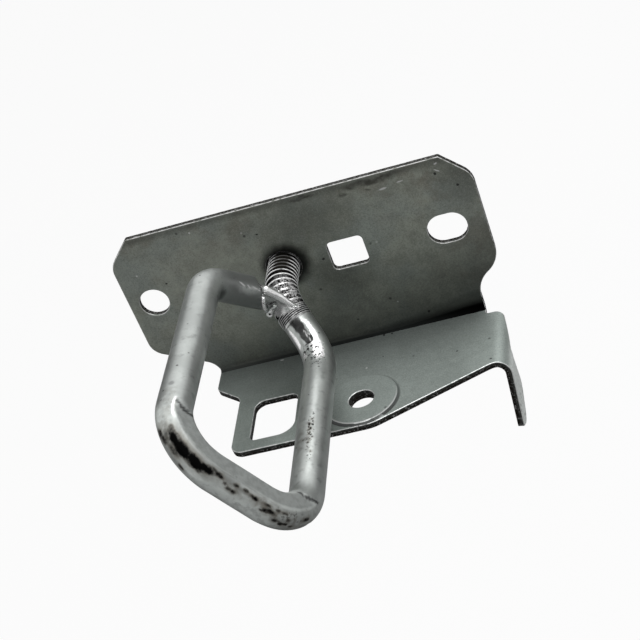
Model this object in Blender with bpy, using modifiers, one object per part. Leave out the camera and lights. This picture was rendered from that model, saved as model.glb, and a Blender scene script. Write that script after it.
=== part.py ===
"""Bonnet lock striker: a folded steel plate that carries a closed loop of bent bar on a threaded shank.

Metres, +Z up. The origin is on the shank's axis at the back face of the plate, the face that seats on
the bonnet frame. +X runs along the plate, and the loop points out of the plate along -Y.
"""

import math

import bmesh
import bpy
from mathutils import Matrix, Vector
from mathutils.geometry import intersect_line_sphere_2d

# Sheet and folds of the plate
SHEET = 0.0015
FLANGE_DROP = 0.02425
FLANGE_FOLD_RADIUS = 0.001
LIP_FOLD_RADIUS = 0.0021
LIP_FOLD_ANGLE = math.radians(94)
LIP_FOLD_SKEW = math.radians(4)

# Outline of the upright plate, from the shank's axis
PLATE_LEFT = 0.0396
PLATE_RIGHT = 0.0485
PLATE_TOP = 0.0175
TOP_CUT = 0.0062
TOP_CUT_ROUND = 0.0054
SHARP_ROUND = 0.0006
LEFT_SHOULDER_DROP = 0.0143
LEFT_SHOULDER_SLOPE = math.radians(28.6)
LEFT_SHOULDER_ROUND = 0.0045
RIGHT_SHOULDER_DROP = 0.0123
RIGHT_SHOULDER_SLOPE = math.radians(35.4)
RIGHT_SHOULDER_ROUND = 0.0072
NECK_LEFT = 0.0252
NECK_RIGHT = 0.0421

# Outline of the flange, as depths in front of the plate's front face
STEP_DEPTH = 0.0079
STEP_SLOPE = math.radians(40)
STEP_ROUND = 0.0027
FLANGE_LEFT = 0.0186
FLANGE_DEPTH = 0.0341
FLANGE_FRONT_ROUND = 0.0032
BEVEL_START = 0.015
BEVEL_ROUND = 0.009
FLANGE_BACK_DEPTH = 0.0022

# Lip at the flange's right end: back from its front edge, and reach past its fold line
LIP_FRONT_X = 0.04285
LIP_FRONT_DEPTH = 0.022
LIP_FRONT_ROUND = 0.006
LIP_TIP_REACH = 0.0204
LIP_TIP_ROUND = 0.0015
LIP_TOE_BACK = 0.0055
LIP_TOE_REACH = 0.0236
LIP_TOE_ROUND = 0.003
LIP_WIDE_BACK = 0.0108
LIP_WIDE_REACH = 0.016
LIP_WIDE_ROUND = 0.005
LIP_WAIST_BACK = 0.0062
LIP_WAIST_REACH = 0.0039
LIP_WAIST_ROUND = 0.0012
LIP_HEEL_REACH = 0.0016
LIP_HEEL_ROUND = 0.0034

# Holes through the plate and the flange
BOLT_HOLE_X = -0.0333
BOLT_HOLE_DIAMETER = 0.0072
BOLT_SLOT_X = 0.0394
BOLT_SLOT_WIDTH = 0.0074
BOLT_SLOT_LENGTH = 0.0092
BOLT_LINE_DROP = 0.0007
SQUARE_HOLE_X = 0.0156
SQUARE_HOLE_DROP = 0.0005
SQUARE_HOLE_WIDTH = 0.0086
SQUARE_HOLE_HEIGHT = 0.0075
SQUARE_HOLE_ROUND = 0.0012
FLANGE_SLOT_X = -0.0089
FLANGE_SLOT_DEPTH = 0.0235
FLANGE_SLOT_WIDTH = 0.0106
FLANGE_SLOT_LENGTH = 0.0141
FLANGE_SLOT_FRONT_LEFT_ROUND = 0.0014
FLANGE_SLOT_FRONT_RIGHT_ROUND = 0.004
FLANGE_SLOT_BACK_RIGHT_ROUND = 0.0018
FLANGE_SLOT_BACK_LEFT_ROUND = 0.0027

# Raised pad round the pivot hole in the flange, pressed up from below, and the hole's plunged collar
PIVOT_X = 0.0124
PIVOT_DEPTH = 0.025
PIVOT_HOLE_DIAMETER = 0.006
PAD_DIAMETER = 0.0177
PAD_RISE = 0.0005
PAD_DRAFT = 0.0004
PUNCH_CLEARANCE = 0.0007
COLLAR_WALL = 0.0012
COLLAR_REACH = 0.0004

# Striker loop in its own plane: across from the shank's axis, and out from the plate's front face
BAR_DIAMETER = 0.0072
THREAD_DIAMETER = 0.0076
THREAD_IN_FRONT = 0.0194
THREAD_RUN_OUT = 0.001
LOOP_TURN = math.radians(57.2)
RIGHT_LEG = 0.0132
LEFT_LEG = 0.0186
CROSSBAR_OUT = 0.0789
JOG_START = 0.0117
JOG_ANGLE = math.radians(48.2)
RETURN_START = 0.0251
RETURN_ANGLE = math.radians(56.6)
SHANK_BEND = 0.013
KNEE_BEND = 0.0132
RIGHT_CORNER_BEND = 0.010
LEFT_CORNER_BEND = 0.0108
RETURN_BEND = 0.0085
CROSSBAR_WIDTH = 0.0077
CROSSBAR_THICKNESS = 0.0067
COINING_RUN = 0.004

# Weld that closes the loop, heaviest inside the loop and on its upper side
WELD_ROOT_GAP = 0.0008
WELD_LENGTH = 0.0096
WELD_WIDTH = 0.0092
WELD_HEIGHT = 0.0064
WELD_INWARD = 0.001
WELD_UPWARD = 0.0008

# Fastening behind the plate
WELD_NUT_FLATS = 0.014
WELD_NUT_HEIGHT = 0.0065
WASHER_DIAMETER = 0.0148
WASHER_THICKNESS = 0.002
WASHER_SLIT = 0.0012
LOCK_NUT_FLATS = 0.013
LOCK_NUT_HEIGHT = 0.005
NUT_CHAMFER = math.radians(30)
SHANK_TAIL = 0.0015

# Fits
SEAT_GAP = 0.0003
SHANK_HOLE_CLEARANCE = 0.0004
THREAD_CLEARANCE = 0.0002
WASHER_CLEARANCE = 0.0003

# Finishes: colour and roughness of the steel
SHEET_FINISH = (0.11, 0.12, 0.115), 0.45
BAR_FINISH = (0.42, 0.43, 0.43), 0.4
WELD_FINISH = (0.55, 0.56, 0.57), 0.25
NUT_FINISH = (0.35, 0.36, 0.36), 0.4
WASHER_FINISH = (0.2, 0.2, 0.2), 0.4

# Fineness of the facets
SMOOTH_BELOW = math.radians(30)
ARC_STEP = math.radians(9)
FOLD_STEPS = 8
HOLE_SIDES = 40
BAR_BEVEL_RESOLUTION = 10
WELD_SEGMENTS = 32
ROUND_SHARE = 0.48
MERGE = 1e-6

# Lengths that follow from the sizes above
FLANGE_FOLD_LENGTH = math.pi / 2 * (FLANGE_FOLD_RADIUS + SHEET / 2)
FLANGE_FOLD_ROW = FLANGE_FOLD_RADIUS - FLANGE_DROP
BAR_RADIUS = BAR_DIAMETER / 2
THREAD_RADIUS = THREAD_DIAMETER / 2
WELD_NUT_SEAT = SEAT_GAP
WASHER_SEAT = WELD_NUT_SEAT + WELD_NUT_HEIGHT + SEAT_GAP
LOCK_NUT_SEAT = WASHER_SEAT + WASHER_THICKNESS + SEAT_GAP
SHANK_END = LOCK_NUT_SEAT + LOCK_NUT_HEIGHT + SHANK_TAIL

# Turns a shape drawn along +Z to point backwards, along +Y
ALONG_SHANK = (-math.pi / 2, 0, 0)


def clear_scene():
    for thing in list(bpy.data.objects):
        bpy.data.objects.remove(thing, do_unlink=True)


def new_collection(name):
    collection = bpy.data.collections.new(name)
    bpy.context.scene.collection.children.link(collection)
    return collection


def steel(name, colour, roughness):
    material = bpy.data.materials.new(name)
    material.use_nodes = True
    shader = material.node_tree.nodes["Principled BSDF"]
    shader.inputs["Base Color"].default_value = (*colour, 1)
    shader.inputs["Roughness"].default_value = roughness
    shader.inputs["Metallic"].default_value = 1
    return material


def add_part(name, bm, collection, material):
    """One sub-part from a closed bmesh."""
    bmesh.ops.recalc_face_normals(bm, faces=bm.faces)
    mesh = bpy.data.meshes.new(name)
    bm.to_mesh(mesh)
    bm.free()
    mesh.materials.append(material)
    mesh.shade_smooth()
    mesh.set_sharp_from_angle(angle=SMOOTH_BELOW)
    part = bpy.data.objects.new(name, mesh)
    collection.objects.link(part)
    return part


def add_cutter(name, bm, collection):
    """A helper solid, drawn as wire and left out of renders."""
    bmesh.ops.recalc_face_normals(bm, faces=bm.faces)
    mesh = bpy.data.meshes.new(name)
    bm.to_mesh(mesh)
    bm.free()
    cutter = bpy.data.objects.new(name, mesh)
    cutter.hide_render = True
    cutter.display_type = "WIRE"
    collection.objects.link(cutter)
    return cutter


def combine(part, operation, cutter):
    modifier = part.modifiers.new(cutter.name, "BOOLEAN")
    modifier.operation = operation
    modifier.object = cutter


def cone_bmesh(sides, low_radius, high_radius, height):
    """Cone, cylinder or prism along Z, centred on the origin."""
    bm = bmesh.new()
    bmesh.ops.create_cone(
        bm, cap_ends=True, segments=sides, radius1=low_radius, radius2=high_radius, depth=height
    )
    return bm


def bmesh_from_curve(curve):
    """Closed bmesh of a curve, with its caps welded to its sides."""
    guide = bpy.data.objects.new(curve.name, curve)
    bpy.context.scene.collection.objects.link(guide)
    graph = bpy.context.evaluated_depsgraph_get()
    mesh = bpy.data.meshes.new_from_object(guide.evaluated_get(graph))
    bm = bmesh.new()
    bm.from_mesh(mesh)
    bmesh.ops.remove_doubles(bm, verts=bm.verts, dist=MERGE)
    bpy.data.objects.remove(guide, do_unlink=True)
    bpy.data.curves.remove(curve)
    bpy.data.meshes.remove(mesh)
    return bm


def flat_bmesh(name, outlines, thickness):
    """Sheet cut to outlines: the first is its outer edge, and the others are its holes."""
    curve = bpy.data.curves.new(name, "CURVE")
    curve.dimensions = "2D"
    curve.fill_mode = "BOTH"
    curve.extrude = thickness / 2
    for outline in outlines:
        spline = curve.splines.new("POLY")
        spline.points.add(len(outline) - 1)
        for point, place in zip(spline.points, outline):
            point.co = (*place, 0, 1)
        spline.use_cyclic_u = True
    return bmesh_from_curve(curve)


def tube_bmesh(name, path, radii):
    """Round bar along a flat path, with a radius at each point."""
    curve = bpy.data.curves.new(name, "CURVE")
    curve.dimensions = "3D"
    curve.fill_mode = "FULL"
    curve.bevel_depth = BAR_RADIUS
    curve.bevel_resolution = BAR_BEVEL_RESOLUTION
    curve.use_fill_caps = True
    spline = curve.splines.new("POLY")
    spline.points.add(len(path) - 1)
    for point, place, radius in zip(spline.points, path, radii):
        point.co = (*place, 0, 1)
        point.radius = radius / BAR_RADIUS
    return bmesh_from_curve(curve)


def rounded_corner(before, corner, after, radius):
    """Points of the arc that rounds a corner, limited by the shorter of its two sides."""
    back = before - corner
    ahead = after - corner
    half = back.angle(ahead) / 2
    reach = min(radius / math.tan(half), ROUND_SHARE * min(back.length, ahead.length))
    bisector = (back.normalized() + ahead.normalized()).normalized()
    centre = corner + bisector * reach / math.cos(half)
    arm = corner + back.normalized() * reach - centre
    sweep = math.copysign(math.pi - 2 * half, ahead.cross(back))
    steps = max(1, math.ceil(abs(sweep) / ARC_STEP))
    return [centre + Matrix.Rotation(sweep * i / steps, 2) @ arm for i in range(steps + 1)]


def rounded_outline(corners):
    """Closed outline through (x, y, radius) corners."""
    places = [Vector(corner[:2]) for corner in corners]
    points = []
    for i, (_, _, radius) in enumerate(corners):
        points += rounded_corner(places[i - 1], places[i], places[(i + 1) % len(places)], radius)
    return points


def rounded_rectangle(x, y, width, height, rounds):
    """Rectangle with a radius for each corner, from the lower left one anticlockwise."""
    corners = zip((-1, 1, 1, -1), (-1, -1, 1, 1), rounds)
    return rounded_outline([(x + i * width / 2, y + j * height / 2, r) for i, j, r in corners])


def circle(x, y, radius):
    turns = [math.tau * i / HOLE_SIDES for i in range(HOLE_SIDES)]
    return [Vector((x + radius * math.cos(turn), y + radius * math.sin(turn))) for turn in turns]


def flange_row(depth):
    """Height on the flat blank of a line on the flange, from its depth in front of the plate."""
    return FLANGE_FOLD_ROW - FLANGE_FOLD_LENGTH - (depth - FLANGE_FOLD_RADIUS)


def lip_place(back, reach):
    """Place on the flat blank of a lip point: back along the lip's fold line, and past that line."""
    x = LIP_FRONT_X + reach * math.cos(LIP_FOLD_SKEW) + back * math.sin(LIP_FOLD_SKEW)
    depth = LIP_FRONT_DEPTH + reach * math.sin(LIP_FOLD_SKEW) - back * math.cos(LIP_FOLD_SKEW)
    return x, flange_row(depth)


def blank_outline():
    """Outer edge of the flat blank, anticlockwise from the top left."""
    left_neck_drop = LEFT_SHOULDER_DROP + (PLATE_LEFT - NECK_LEFT) * math.tan(LEFT_SHOULDER_SLOPE)
    right_neck_drop = RIGHT_SHOULDER_DROP + (PLATE_RIGHT - NECK_RIGHT) * math.tan(RIGHT_SHOULDER_SLOPE)
    step_end = STEP_DEPTH + (NECK_LEFT - FLANGE_LEFT) * math.tan(STEP_SLOPE)
    heel_back = (LIP_FRONT_DEPTH - FLANGE_BACK_DEPTH) / math.cos(LIP_FOLD_SKEW)
    return rounded_outline([
        (TOP_CUT - PLATE_LEFT, PLATE_TOP, SHARP_ROUND),
        (-PLATE_LEFT, PLATE_TOP - TOP_CUT, TOP_CUT_ROUND),
        (-PLATE_LEFT, -LEFT_SHOULDER_DROP, LEFT_SHOULDER_ROUND),
        (-NECK_LEFT, -left_neck_drop, LEFT_SHOULDER_ROUND),
        (-NECK_LEFT, flange_row(STEP_DEPTH), STEP_ROUND),
        (-FLANGE_LEFT, flange_row(step_end), STEP_ROUND),
        (-FLANGE_LEFT, flange_row(FLANGE_DEPTH), FLANGE_FRONT_ROUND),
        (BEVEL_START, flange_row(FLANGE_DEPTH), BEVEL_ROUND),
        (*lip_place(0, 0), LIP_FRONT_ROUND),
        (*lip_place(0, LIP_TIP_REACH), LIP_TIP_ROUND),
        (*lip_place(LIP_TOE_BACK, LIP_TOE_REACH), LIP_TOE_ROUND),
        (*lip_place(LIP_WIDE_BACK, LIP_WIDE_REACH), LIP_WIDE_ROUND),
        (*lip_place(LIP_WAIST_BACK, LIP_WAIST_REACH), LIP_WAIST_ROUND),
        (*lip_place(heel_back, LIP_HEEL_REACH), LIP_HEEL_ROUND),
        (NECK_RIGHT, flange_row(FLANGE_BACK_DEPTH), SHARP_ROUND),
        (NECK_RIGHT, -right_neck_drop, RIGHT_SHOULDER_ROUND),
        (PLATE_RIGHT, -RIGHT_SHOULDER_DROP, RIGHT_SHOULDER_ROUND),
        (PLATE_RIGHT, PLATE_TOP - TOP_CUT, TOP_CUT_ROUND),
        (PLATE_RIGHT - TOP_CUT, PLATE_TOP, SHARP_ROUND),
    ])


def blank_holes():
    """Holes of the flat blank: shank, bolt hole, bolt slot, square hole and flange slot."""
    slot_rounds = [BOLT_SLOT_WIDTH / 2] * 4
    square_rounds = [SQUARE_HOLE_ROUND] * 4
    flange_slot_rounds = [
        FLANGE_SLOT_FRONT_LEFT_ROUND,
        FLANGE_SLOT_FRONT_RIGHT_ROUND,
        FLANGE_SLOT_BACK_RIGHT_ROUND,
        FLANGE_SLOT_BACK_LEFT_ROUND,
    ]
    flange_slot_row = flange_row(FLANGE_SLOT_DEPTH)
    return [
        circle(0, 0, THREAD_RADIUS + SHANK_HOLE_CLEARANCE),
        circle(BOLT_HOLE_X, -BOLT_LINE_DROP, BOLT_HOLE_DIAMETER / 2),
        rounded_rectangle(BOLT_SLOT_X, -BOLT_LINE_DROP, BOLT_SLOT_LENGTH, BOLT_SLOT_WIDTH, slot_rounds),
        rounded_rectangle(
            SQUARE_HOLE_X, -SQUARE_HOLE_DROP, SQUARE_HOLE_WIDTH, SQUARE_HOLE_HEIGHT, square_rounds
        ),
        rounded_rectangle(
            FLANGE_SLOT_X, flange_slot_row, FLANGE_SLOT_WIDTH, FLANGE_SLOT_LENGTH, flange_slot_rounds
        ),
    ]


def crease(bm, faces, line, away, length):
    """Cut the sheet along evenly spaced lines across a fold, so that the fold comes out round."""
    for i in range(FOLD_STEPS + 1):
        edges = {edge for face in faces for edge in face.edges}
        verts = {vert for face in faces for vert in face.verts}
        made = bmesh.ops.bisect_plane(
            bm,
            geom=[*verts, *edges, *faces],
            dist=MERGE,
            plane_co=line + away * length * i / FOLD_STEPS,
            plane_no=away,
        )
        faces = [piece for piece in made["geom"] if isinstance(piece, bmesh.types.BMFace)]


def fold(verts, line, away, radius, angle, towards):
    """Fold the sheet beyond a line towards its upper side (1) or its under side (-1)."""
    middle = radius + SHEET / 2
    for vert in verts:
        out = (vert.co - line).dot(away)
        if out <= 0:
            continue
        turn = min(out / middle, angle)
        past = max(out - angle * middle, 0)
        arm = middle - towards * vert.co.z
        along = arm * math.sin(turn) + past * math.cos(turn)
        vert.co += away * (along - out)
        vert.co.z = towards * (middle - arm * math.cos(turn) + past * math.sin(turn))


def plate_bmesh():
    """Sheet blank, upper side up, folded up along the flange and down along the lip."""
    bm = flat_bmesh("plate_blank", [blank_outline(), *blank_holes()], SHEET)
    flange_line = Vector((0, FLANGE_FOLD_ROW, 0))
    flange_away = Vector((0, -1, 0))
    lip_line = Vector((*lip_place(0, 0), 0))
    lip_away = Vector((*lip_place(0, 1), 0)) - lip_line
    lip_length = LIP_FOLD_ANGLE * (LIP_FOLD_RADIUS + SHEET / 2)
    flange_top = flange_row(0)
    crease(bm, bm.faces[:], flange_line, flange_away, FLANGE_FOLD_LENGTH)
    flange_faces = [face for face in bm.faces if face.calc_center_median().y < flange_top]
    crease(bm, flange_faces, lip_line, lip_away, lip_length)
    bmesh.ops.triangulate(bm, faces=bm.faces)
    flange_verts = [vert for vert in bm.verts if vert.co.y < flange_top]
    fold(flange_verts, lip_line, lip_away, LIP_FOLD_RADIUS, LIP_FOLD_ANGLE, -1)
    fold(bm.verts, flange_line, flange_away, FLANGE_FOLD_RADIUS, math.pi / 2, 1)
    return bm


def add_mounting_plate(parts, cutters):
    plate = add_part("mounting_plate", plate_bmesh(), parts, steel("zinc_sheet", *SHEET_FINISH))
    plate.location = (0, -SHEET / 2, 0)
    plate.rotation_euler = (math.pi / 2, 0, 0)

    middle = -FLANGE_DROP - SHEET / 2
    under = -FLANGE_DROP - SHEET
    top = PAD_RISE - FLANGE_DROP
    rim = PAD_DIAMETER / 2
    punch = rim - PAD_DRAFT - PUNCH_CLEARANCE
    hole = PIVOT_HOLE_DIAMETER / 2
    collar = hole + COLLAR_WALL
    for name, operation, low_radius, high_radius, low, high in (
        ("pad_rise", "UNION", rim, rim - PAD_DRAFT, middle, top),
        ("pad_hollow", "DIFFERENCE", punch, punch, under - SHEET, under + PAD_RISE),
        ("pivot_collar", "UNION", collar, collar, under - COLLAR_REACH, middle),
        ("pivot_hole", "DIFFERENCE", hole, hole, under - SHEET, top + SHEET),
    ):
        tool = add_cutter(name, cone_bmesh(HOLE_SIDES, low_radius, high_radius, high - low), cutters)
        tool.location = (PIVOT_X, -SHEET - PIVOT_DEPTH, (low + high) / 2)
        combine(plate, operation, tool)


def return_end():
    """Place of the bar's free end, one root gap short of the outside of the shank's bend."""
    corner = Vector((-LEFT_LEG, RETURN_START))
    ahead = corner + CROSSBAR_OUT * Vector((math.sin(RETURN_ANGLE), -math.cos(RETURN_ANGLE)))
    bend_centre = Vector((SHANK_BEND, JOG_START - SHANK_BEND * math.tan(JOG_ANGLE / 2)))
    stop = SHANK_BEND + THREAD_RADIUS + WELD_ROOT_GAP
    crossings = intersect_line_sphere_2d(corner, ahead, bend_centre, stop, False)
    return min(crossings, key=lambda place: (place - corner).length)


def bar_path():
    """Centreline of the bar, from the shank's end behind the plate round the loop to its free end."""
    knee_out = JOG_START + RIGHT_LEG / math.tan(JOG_ANGLE)
    corners = [
        (0, JOG_START, SHANK_BEND),
        (RIGHT_LEG, knee_out, KNEE_BEND),
        (RIGHT_LEG, CROSSBAR_OUT, RIGHT_CORNER_BEND),
        (-LEFT_LEG, CROSSBAR_OUT, LEFT_CORNER_BEND),
        (-LEFT_LEG, RETURN_START, RETURN_BEND),
    ]
    places = [Vector((0, -SHEET - SHANK_END)), *(Vector(c[:2]) for c in corners), return_end()]
    path = [places[0]]
    for i, (_, _, bend) in enumerate(corners):
        path += rounded_corner(places[i], places[i + 1], places[i + 2], bend)
    return path + [places[-1]]


def with_stop(path, length):
    """The path with a point added at a length along it, and that point's index."""
    for i, (start, end) in enumerate(zip(path, path[1:])):
        step = (end - start).length
        if length < step:
            return path[: i + 1] + [start.lerp(end, length / step)] + path[i + 1 :], i + 1
        length -= step
    raise ValueError("the path is shorter than this length")


def coin_crossbar(bm):
    """Press the crossbar flatter along the loop, and so wider across it, easing out into its corners."""
    left = LEFT_CORNER_BEND - LEFT_LEG
    right = RIGHT_LEG - RIGHT_CORNER_BEND
    for vert in bm.verts:
        across, out, _ = vert.co
        past = max(left - across, across - right, 0)
        if out < CROSSBAR_OUT - BAR_DIAMETER or past > COINING_RUN:
            continue
        share = (1 + math.cos(math.pi * past / COINING_RUN)) / 2
        vert.co.z *= 1 + share * (CROSSBAR_WIDTH / BAR_DIAMETER - 1)
        vert.co.y += share * (out - CROSSBAR_OUT) * (CROSSBAR_THICKNESS / BAR_DIAMETER - 1)


def add_striker_axis(parts):
    """Empty on the shank's axis at the plate's front face: X across the loop and Y out along it."""
    across = Vector((math.cos(LOOP_TURN), 0, -math.sin(LOOP_TURN)))
    out = Vector((0, -1, 0))
    axis = bpy.data.objects.new("striker_axis", None)
    parts.objects.link(axis)
    frame = Matrix((across, out, across.cross(out))).transposed().to_4x4()
    axis.matrix_world = Matrix.Translation((0, -SHEET, 0)) @ frame
    return axis


def add_striker_rod(parts, axis):
    shank = SHEET + SHANK_END + THREAD_IN_FRONT
    path, thread_end = with_stop(bar_path(), shank)
    path, bar_start = with_stop(path, shank + THREAD_RUN_OUT)
    radii = [THREAD_RADIUS if i <= thread_end else BAR_RADIUS for i in range(len(path))]
    bm = tube_bmesh("striker_rod", path, radii)
    coin_crossbar(bm)
    rod = add_part("striker_rod", bm, parts, steel("zinc_bar", *BAR_FINISH))
    rod.parent = axis
    return path, bar_start


def add_closing_weld(parts, cutters, axis, path, bar_start):
    """Bead between the bar's free end and the shank's bend, clear of both by the seat gap."""
    end = path[-1]
    along = (end - path[-2]).normalized()
    side = Vector((-along.y, along.x))
    centre = end + along * WELD_ROOT_GAP / 2 + side * WELD_INWARD
    bm = bmesh.new()
    bmesh.ops.create_uvsphere(bm, u_segments=WELD_SEGMENTS, v_segments=WELD_SEGMENTS // 2, radius=0.5)
    bmesh.ops.scale(bm, vec=(WELD_LENGTH, WELD_HEIGHT, WELD_WIDTH), verts=bm.verts)
    turn = Matrix.Rotation(math.atan2(side.y, side.x), 3, "Z")
    bmesh.ops.rotate(bm, cent=(0, 0, 0), matrix=turn, verts=bm.verts)
    bmesh.ops.translate(bm, vec=(*centre, -WELD_UPWARD), verts=bm.verts)
    weld = add_part("closing_weld", bm, parts, steel("weld_metal", *WELD_FINISH))
    weld.parent = axis
    shank = path[: bar_start + 1]
    returning = [path[-2], end + along * WELD_ROOT_GAP]
    for name, run, radius in (("shank_room", shank, THREAD_RADIUS), ("return_room", returning, BAR_RADIUS)):
        room = add_cutter(name, tube_bmesh(name, run, [radius + SEAT_GAP] * len(run)), cutters)
        room.parent = axis
        combine(weld, "DIFFERENCE", room)


def add_hex_nut(name, flats, height, seat, material, parts, cutters):
    """Hexagon nut on the shank with chamfered corners, its near face this far behind the plate."""
    corner = flats / math.sqrt(3)
    nut = add_part(name, cone_bmesh(6, corner, corner, height), parts, material)
    nut.location = (0, seat + height / 2, 0)
    nut.rotation_euler = ALONG_SHANK

    face = flats / 2
    fall = (corner - face) * math.tan(NUT_CHAMFER)
    profile = bpy.data.meshes.new(name + "_chamfer")
    places = [(0, height / 2), (face, height / 2), (corner, height / 2 - fall)]
    places += [(x, -z) for x, z in reversed(places)]
    profile.from_pydata([(x, 0, z) for x, z in places], [(i, i + 1) for i in range(len(places) - 1)], [])
    chamfer = bpy.data.objects.new(name + "_chamfer", profile)
    chamfer.hide_render = True
    chamfer.display_type = "WIRE"
    cutters.objects.link(chamfer)
    chamfer.location = nut.location
    chamfer.rotation_euler = ALONG_SHANK
    screw = chamfer.modifiers.new("turn", "SCREW")
    screw.steps = HOLE_SIDES
    screw.render_steps = HOLE_SIDES
    screw.use_merge_vertices = True
    screw.merge_threshold = MERGE
    combine(nut, "INTERSECT", chamfer)

    bore_radius = THREAD_RADIUS + THREAD_CLEARANCE
    bore = add_cutter(name + "_bore", cone_bmesh(HOLE_SIDES, bore_radius, bore_radius, 2 * height), cutters)
    bore.location = nut.location
    bore.rotation_euler = ALONG_SHANK
    combine(nut, "DIFFERENCE", bore)
    return nut


def add_lock_washer(parts):
    """Spring washer squeezed flat between the two nuts, with its slit to the top."""
    outer = WASHER_DIAMETER / 2
    inner = THREAD_RADIUS + WASHER_CLEARANCE

    def ring(radius):
        start = math.asin(WASHER_SLIT / 2 / radius)
        turns = [start + (math.tau - 2 * start) * i / HOLE_SIDES for i in range(HOLE_SIDES + 1)]
        return [Vector((radius * math.sin(turn), -radius * math.cos(turn))) for turn in turns]

    outline = ring(outer) + ring(inner)[::-1]
    bm = flat_bmesh("lock_washer", [outline], WASHER_THICKNESS)
    washer = add_part("lock_washer", bm, parts, steel("spring_steel", *WASHER_FINISH))
    washer.location = (0, WASHER_SEAT + WASHER_THICKNESS / 2, 0)
    washer.rotation_euler = ALONG_SHANK


def main():
    clear_scene()
    parts = new_collection("bonnet_lock_striker")
    cutters = new_collection("bonnet_lock_striker_cutters")
    add_mounting_plate(parts, cutters)
    axis = add_striker_axis(parts)
    path, bar_start = add_striker_rod(parts, axis)
    add_closing_weld(parts, cutters, axis, path, bar_start)
    nut_steel = steel("zinc_nut", *NUT_FINISH)
    add_hex_nut("weld_nut", WELD_NUT_FLATS, WELD_NUT_HEIGHT, WELD_NUT_SEAT, nut_steel, parts, cutters)
    add_lock_washer(parts)
    lock_nut = add_hex_nut(
        "lock_nut", LOCK_NUT_FLATS, LOCK_NUT_HEIGHT, LOCK_NUT_SEAT, nut_steel, parts, cutters
    )
    lock_nut.parent = axis
    lock_nut.matrix_parent_inverse = axis.matrix_world.inverted()


main()
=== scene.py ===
"""Looks of the bonnet lock striker: finer pieces and finishes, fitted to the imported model's frame."""

import math

import bmesh
import bpy
import numpy as np
from mathutils import Matrix, Vector, noise
from mathutils.geometry import delaunay_2d_cdt, intersect_line_sphere_2d


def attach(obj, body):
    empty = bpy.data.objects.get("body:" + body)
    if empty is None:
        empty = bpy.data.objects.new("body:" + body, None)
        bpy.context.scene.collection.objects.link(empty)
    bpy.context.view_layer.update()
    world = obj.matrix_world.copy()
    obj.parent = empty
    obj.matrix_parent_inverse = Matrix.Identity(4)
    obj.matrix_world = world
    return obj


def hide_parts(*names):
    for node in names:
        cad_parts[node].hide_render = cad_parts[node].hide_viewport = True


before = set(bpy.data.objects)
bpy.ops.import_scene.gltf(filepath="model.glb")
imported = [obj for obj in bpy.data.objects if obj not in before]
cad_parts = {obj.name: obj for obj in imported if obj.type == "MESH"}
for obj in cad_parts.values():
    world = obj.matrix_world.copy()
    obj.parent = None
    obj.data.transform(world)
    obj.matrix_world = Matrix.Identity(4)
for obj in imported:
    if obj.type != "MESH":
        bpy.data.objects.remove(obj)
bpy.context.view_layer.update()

# Sheet and folds of the plate, as in the part's source, in metres
SHEET = 0.0015
HALF = SHEET / 2
FLANGE_DROP = 0.02425
FLANGE_FOLD_RADIUS = 0.001
LIP_FOLD_RADIUS = 0.0021
LIP_FOLD_ANGLE = math.radians(94)
LIP_FOLD_SKEW = math.radians(4)
FLANGE_FOLD_LENGTH = math.pi / 2 * (FLANGE_FOLD_RADIUS + HALF)
FLANGE_FOLD_ROW = FLANGE_FOLD_RADIUS - FLANGE_DROP
FOLD_END_ROW = FLANGE_FOLD_ROW - FLANGE_FOLD_LENGTH
LIP_FOLD_LENGTH = LIP_FOLD_ANGLE * (LIP_FOLD_RADIUS + HALF)

# Outline of the plate and the flange
PLATE_LEFT = 0.0396
PLATE_RIGHT = 0.0485
PLATE_TOP = 0.0175
TOP_CUT = 0.0062
TOP_CUT_ROUND = 0.0054
SHARP_ROUND = 0.0006
LEFT_SHOULDER_DROP = 0.0143
LEFT_SHOULDER_SLOPE = math.radians(28.6)
LEFT_SHOULDER_ROUND = 0.0045
RIGHT_SHOULDER_DROP = 0.0123
RIGHT_SHOULDER_SLOPE = math.radians(35.4)
RIGHT_SHOULDER_ROUND = 0.0072
NECK_LEFT = 0.0252
NECK_RIGHT = 0.0421
STEP_DEPTH = 0.0079
STEP_SLOPE = math.radians(40)
STEP_ROUND = 0.0027
FLANGE_LEFT = 0.0186
FLANGE_DEPTH = 0.0341
FLANGE_FRONT_ROUND = 0.0032
BEVEL_START = 0.015
BEVEL_ROUND = 0.009
FLANGE_BACK_DEPTH = 0.0022
LIP_FRONT_X = 0.04285
LIP_FRONT_DEPTH = 0.022

# Corners of the lip: back along its fold line, reach past that line, and rounding
LIP_CORNERS = (
    (0, 0, 0.006),
    (0, 0.0204, 0.0015),
    (0.0055, 0.0236, 0.003),
    (0.0108, 0.016, 0.005),
    (0.0062, 0.0039, 0.0012),
)
LIP_HEEL_REACH = 0.0016
LIP_HEEL_ROUND = 0.0034

# Holes: place along the plate, drop or depth, length, width and roundings
BOLT_HOLE = (-0.0333, 0.0007, 0.0072)
BOLT_SLOT = (0.0394, 0.0007, 0.0092, 0.0074)
SQUARE_HOLE = (0.0156, 0.0005, 0.0086, 0.0075, 0.0012)
FLANGE_SLOT = (-0.0089, 0.0235, 0.0106, 0.0141)
FLANGE_SLOT_ROUNDS = (0.0014, 0.004, 0.0018, 0.0027)
SHANK_HOLE_CLEARANCE = 0.0004

# Raised pad and pivot hole
PIVOT_X = 0.0124
PIVOT_DEPTH = 0.025
PIVOT_RADIUS = 0.003
PAD_RADIUS = 0.00885
PAD_RISE = 0.0005
PAD_DRAFT = 0.0004
PUNCH_CLEARANCE = 0.0007
COLLAR_WALL = 0.0012
COLLAR_REACH = 0.0004

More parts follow.
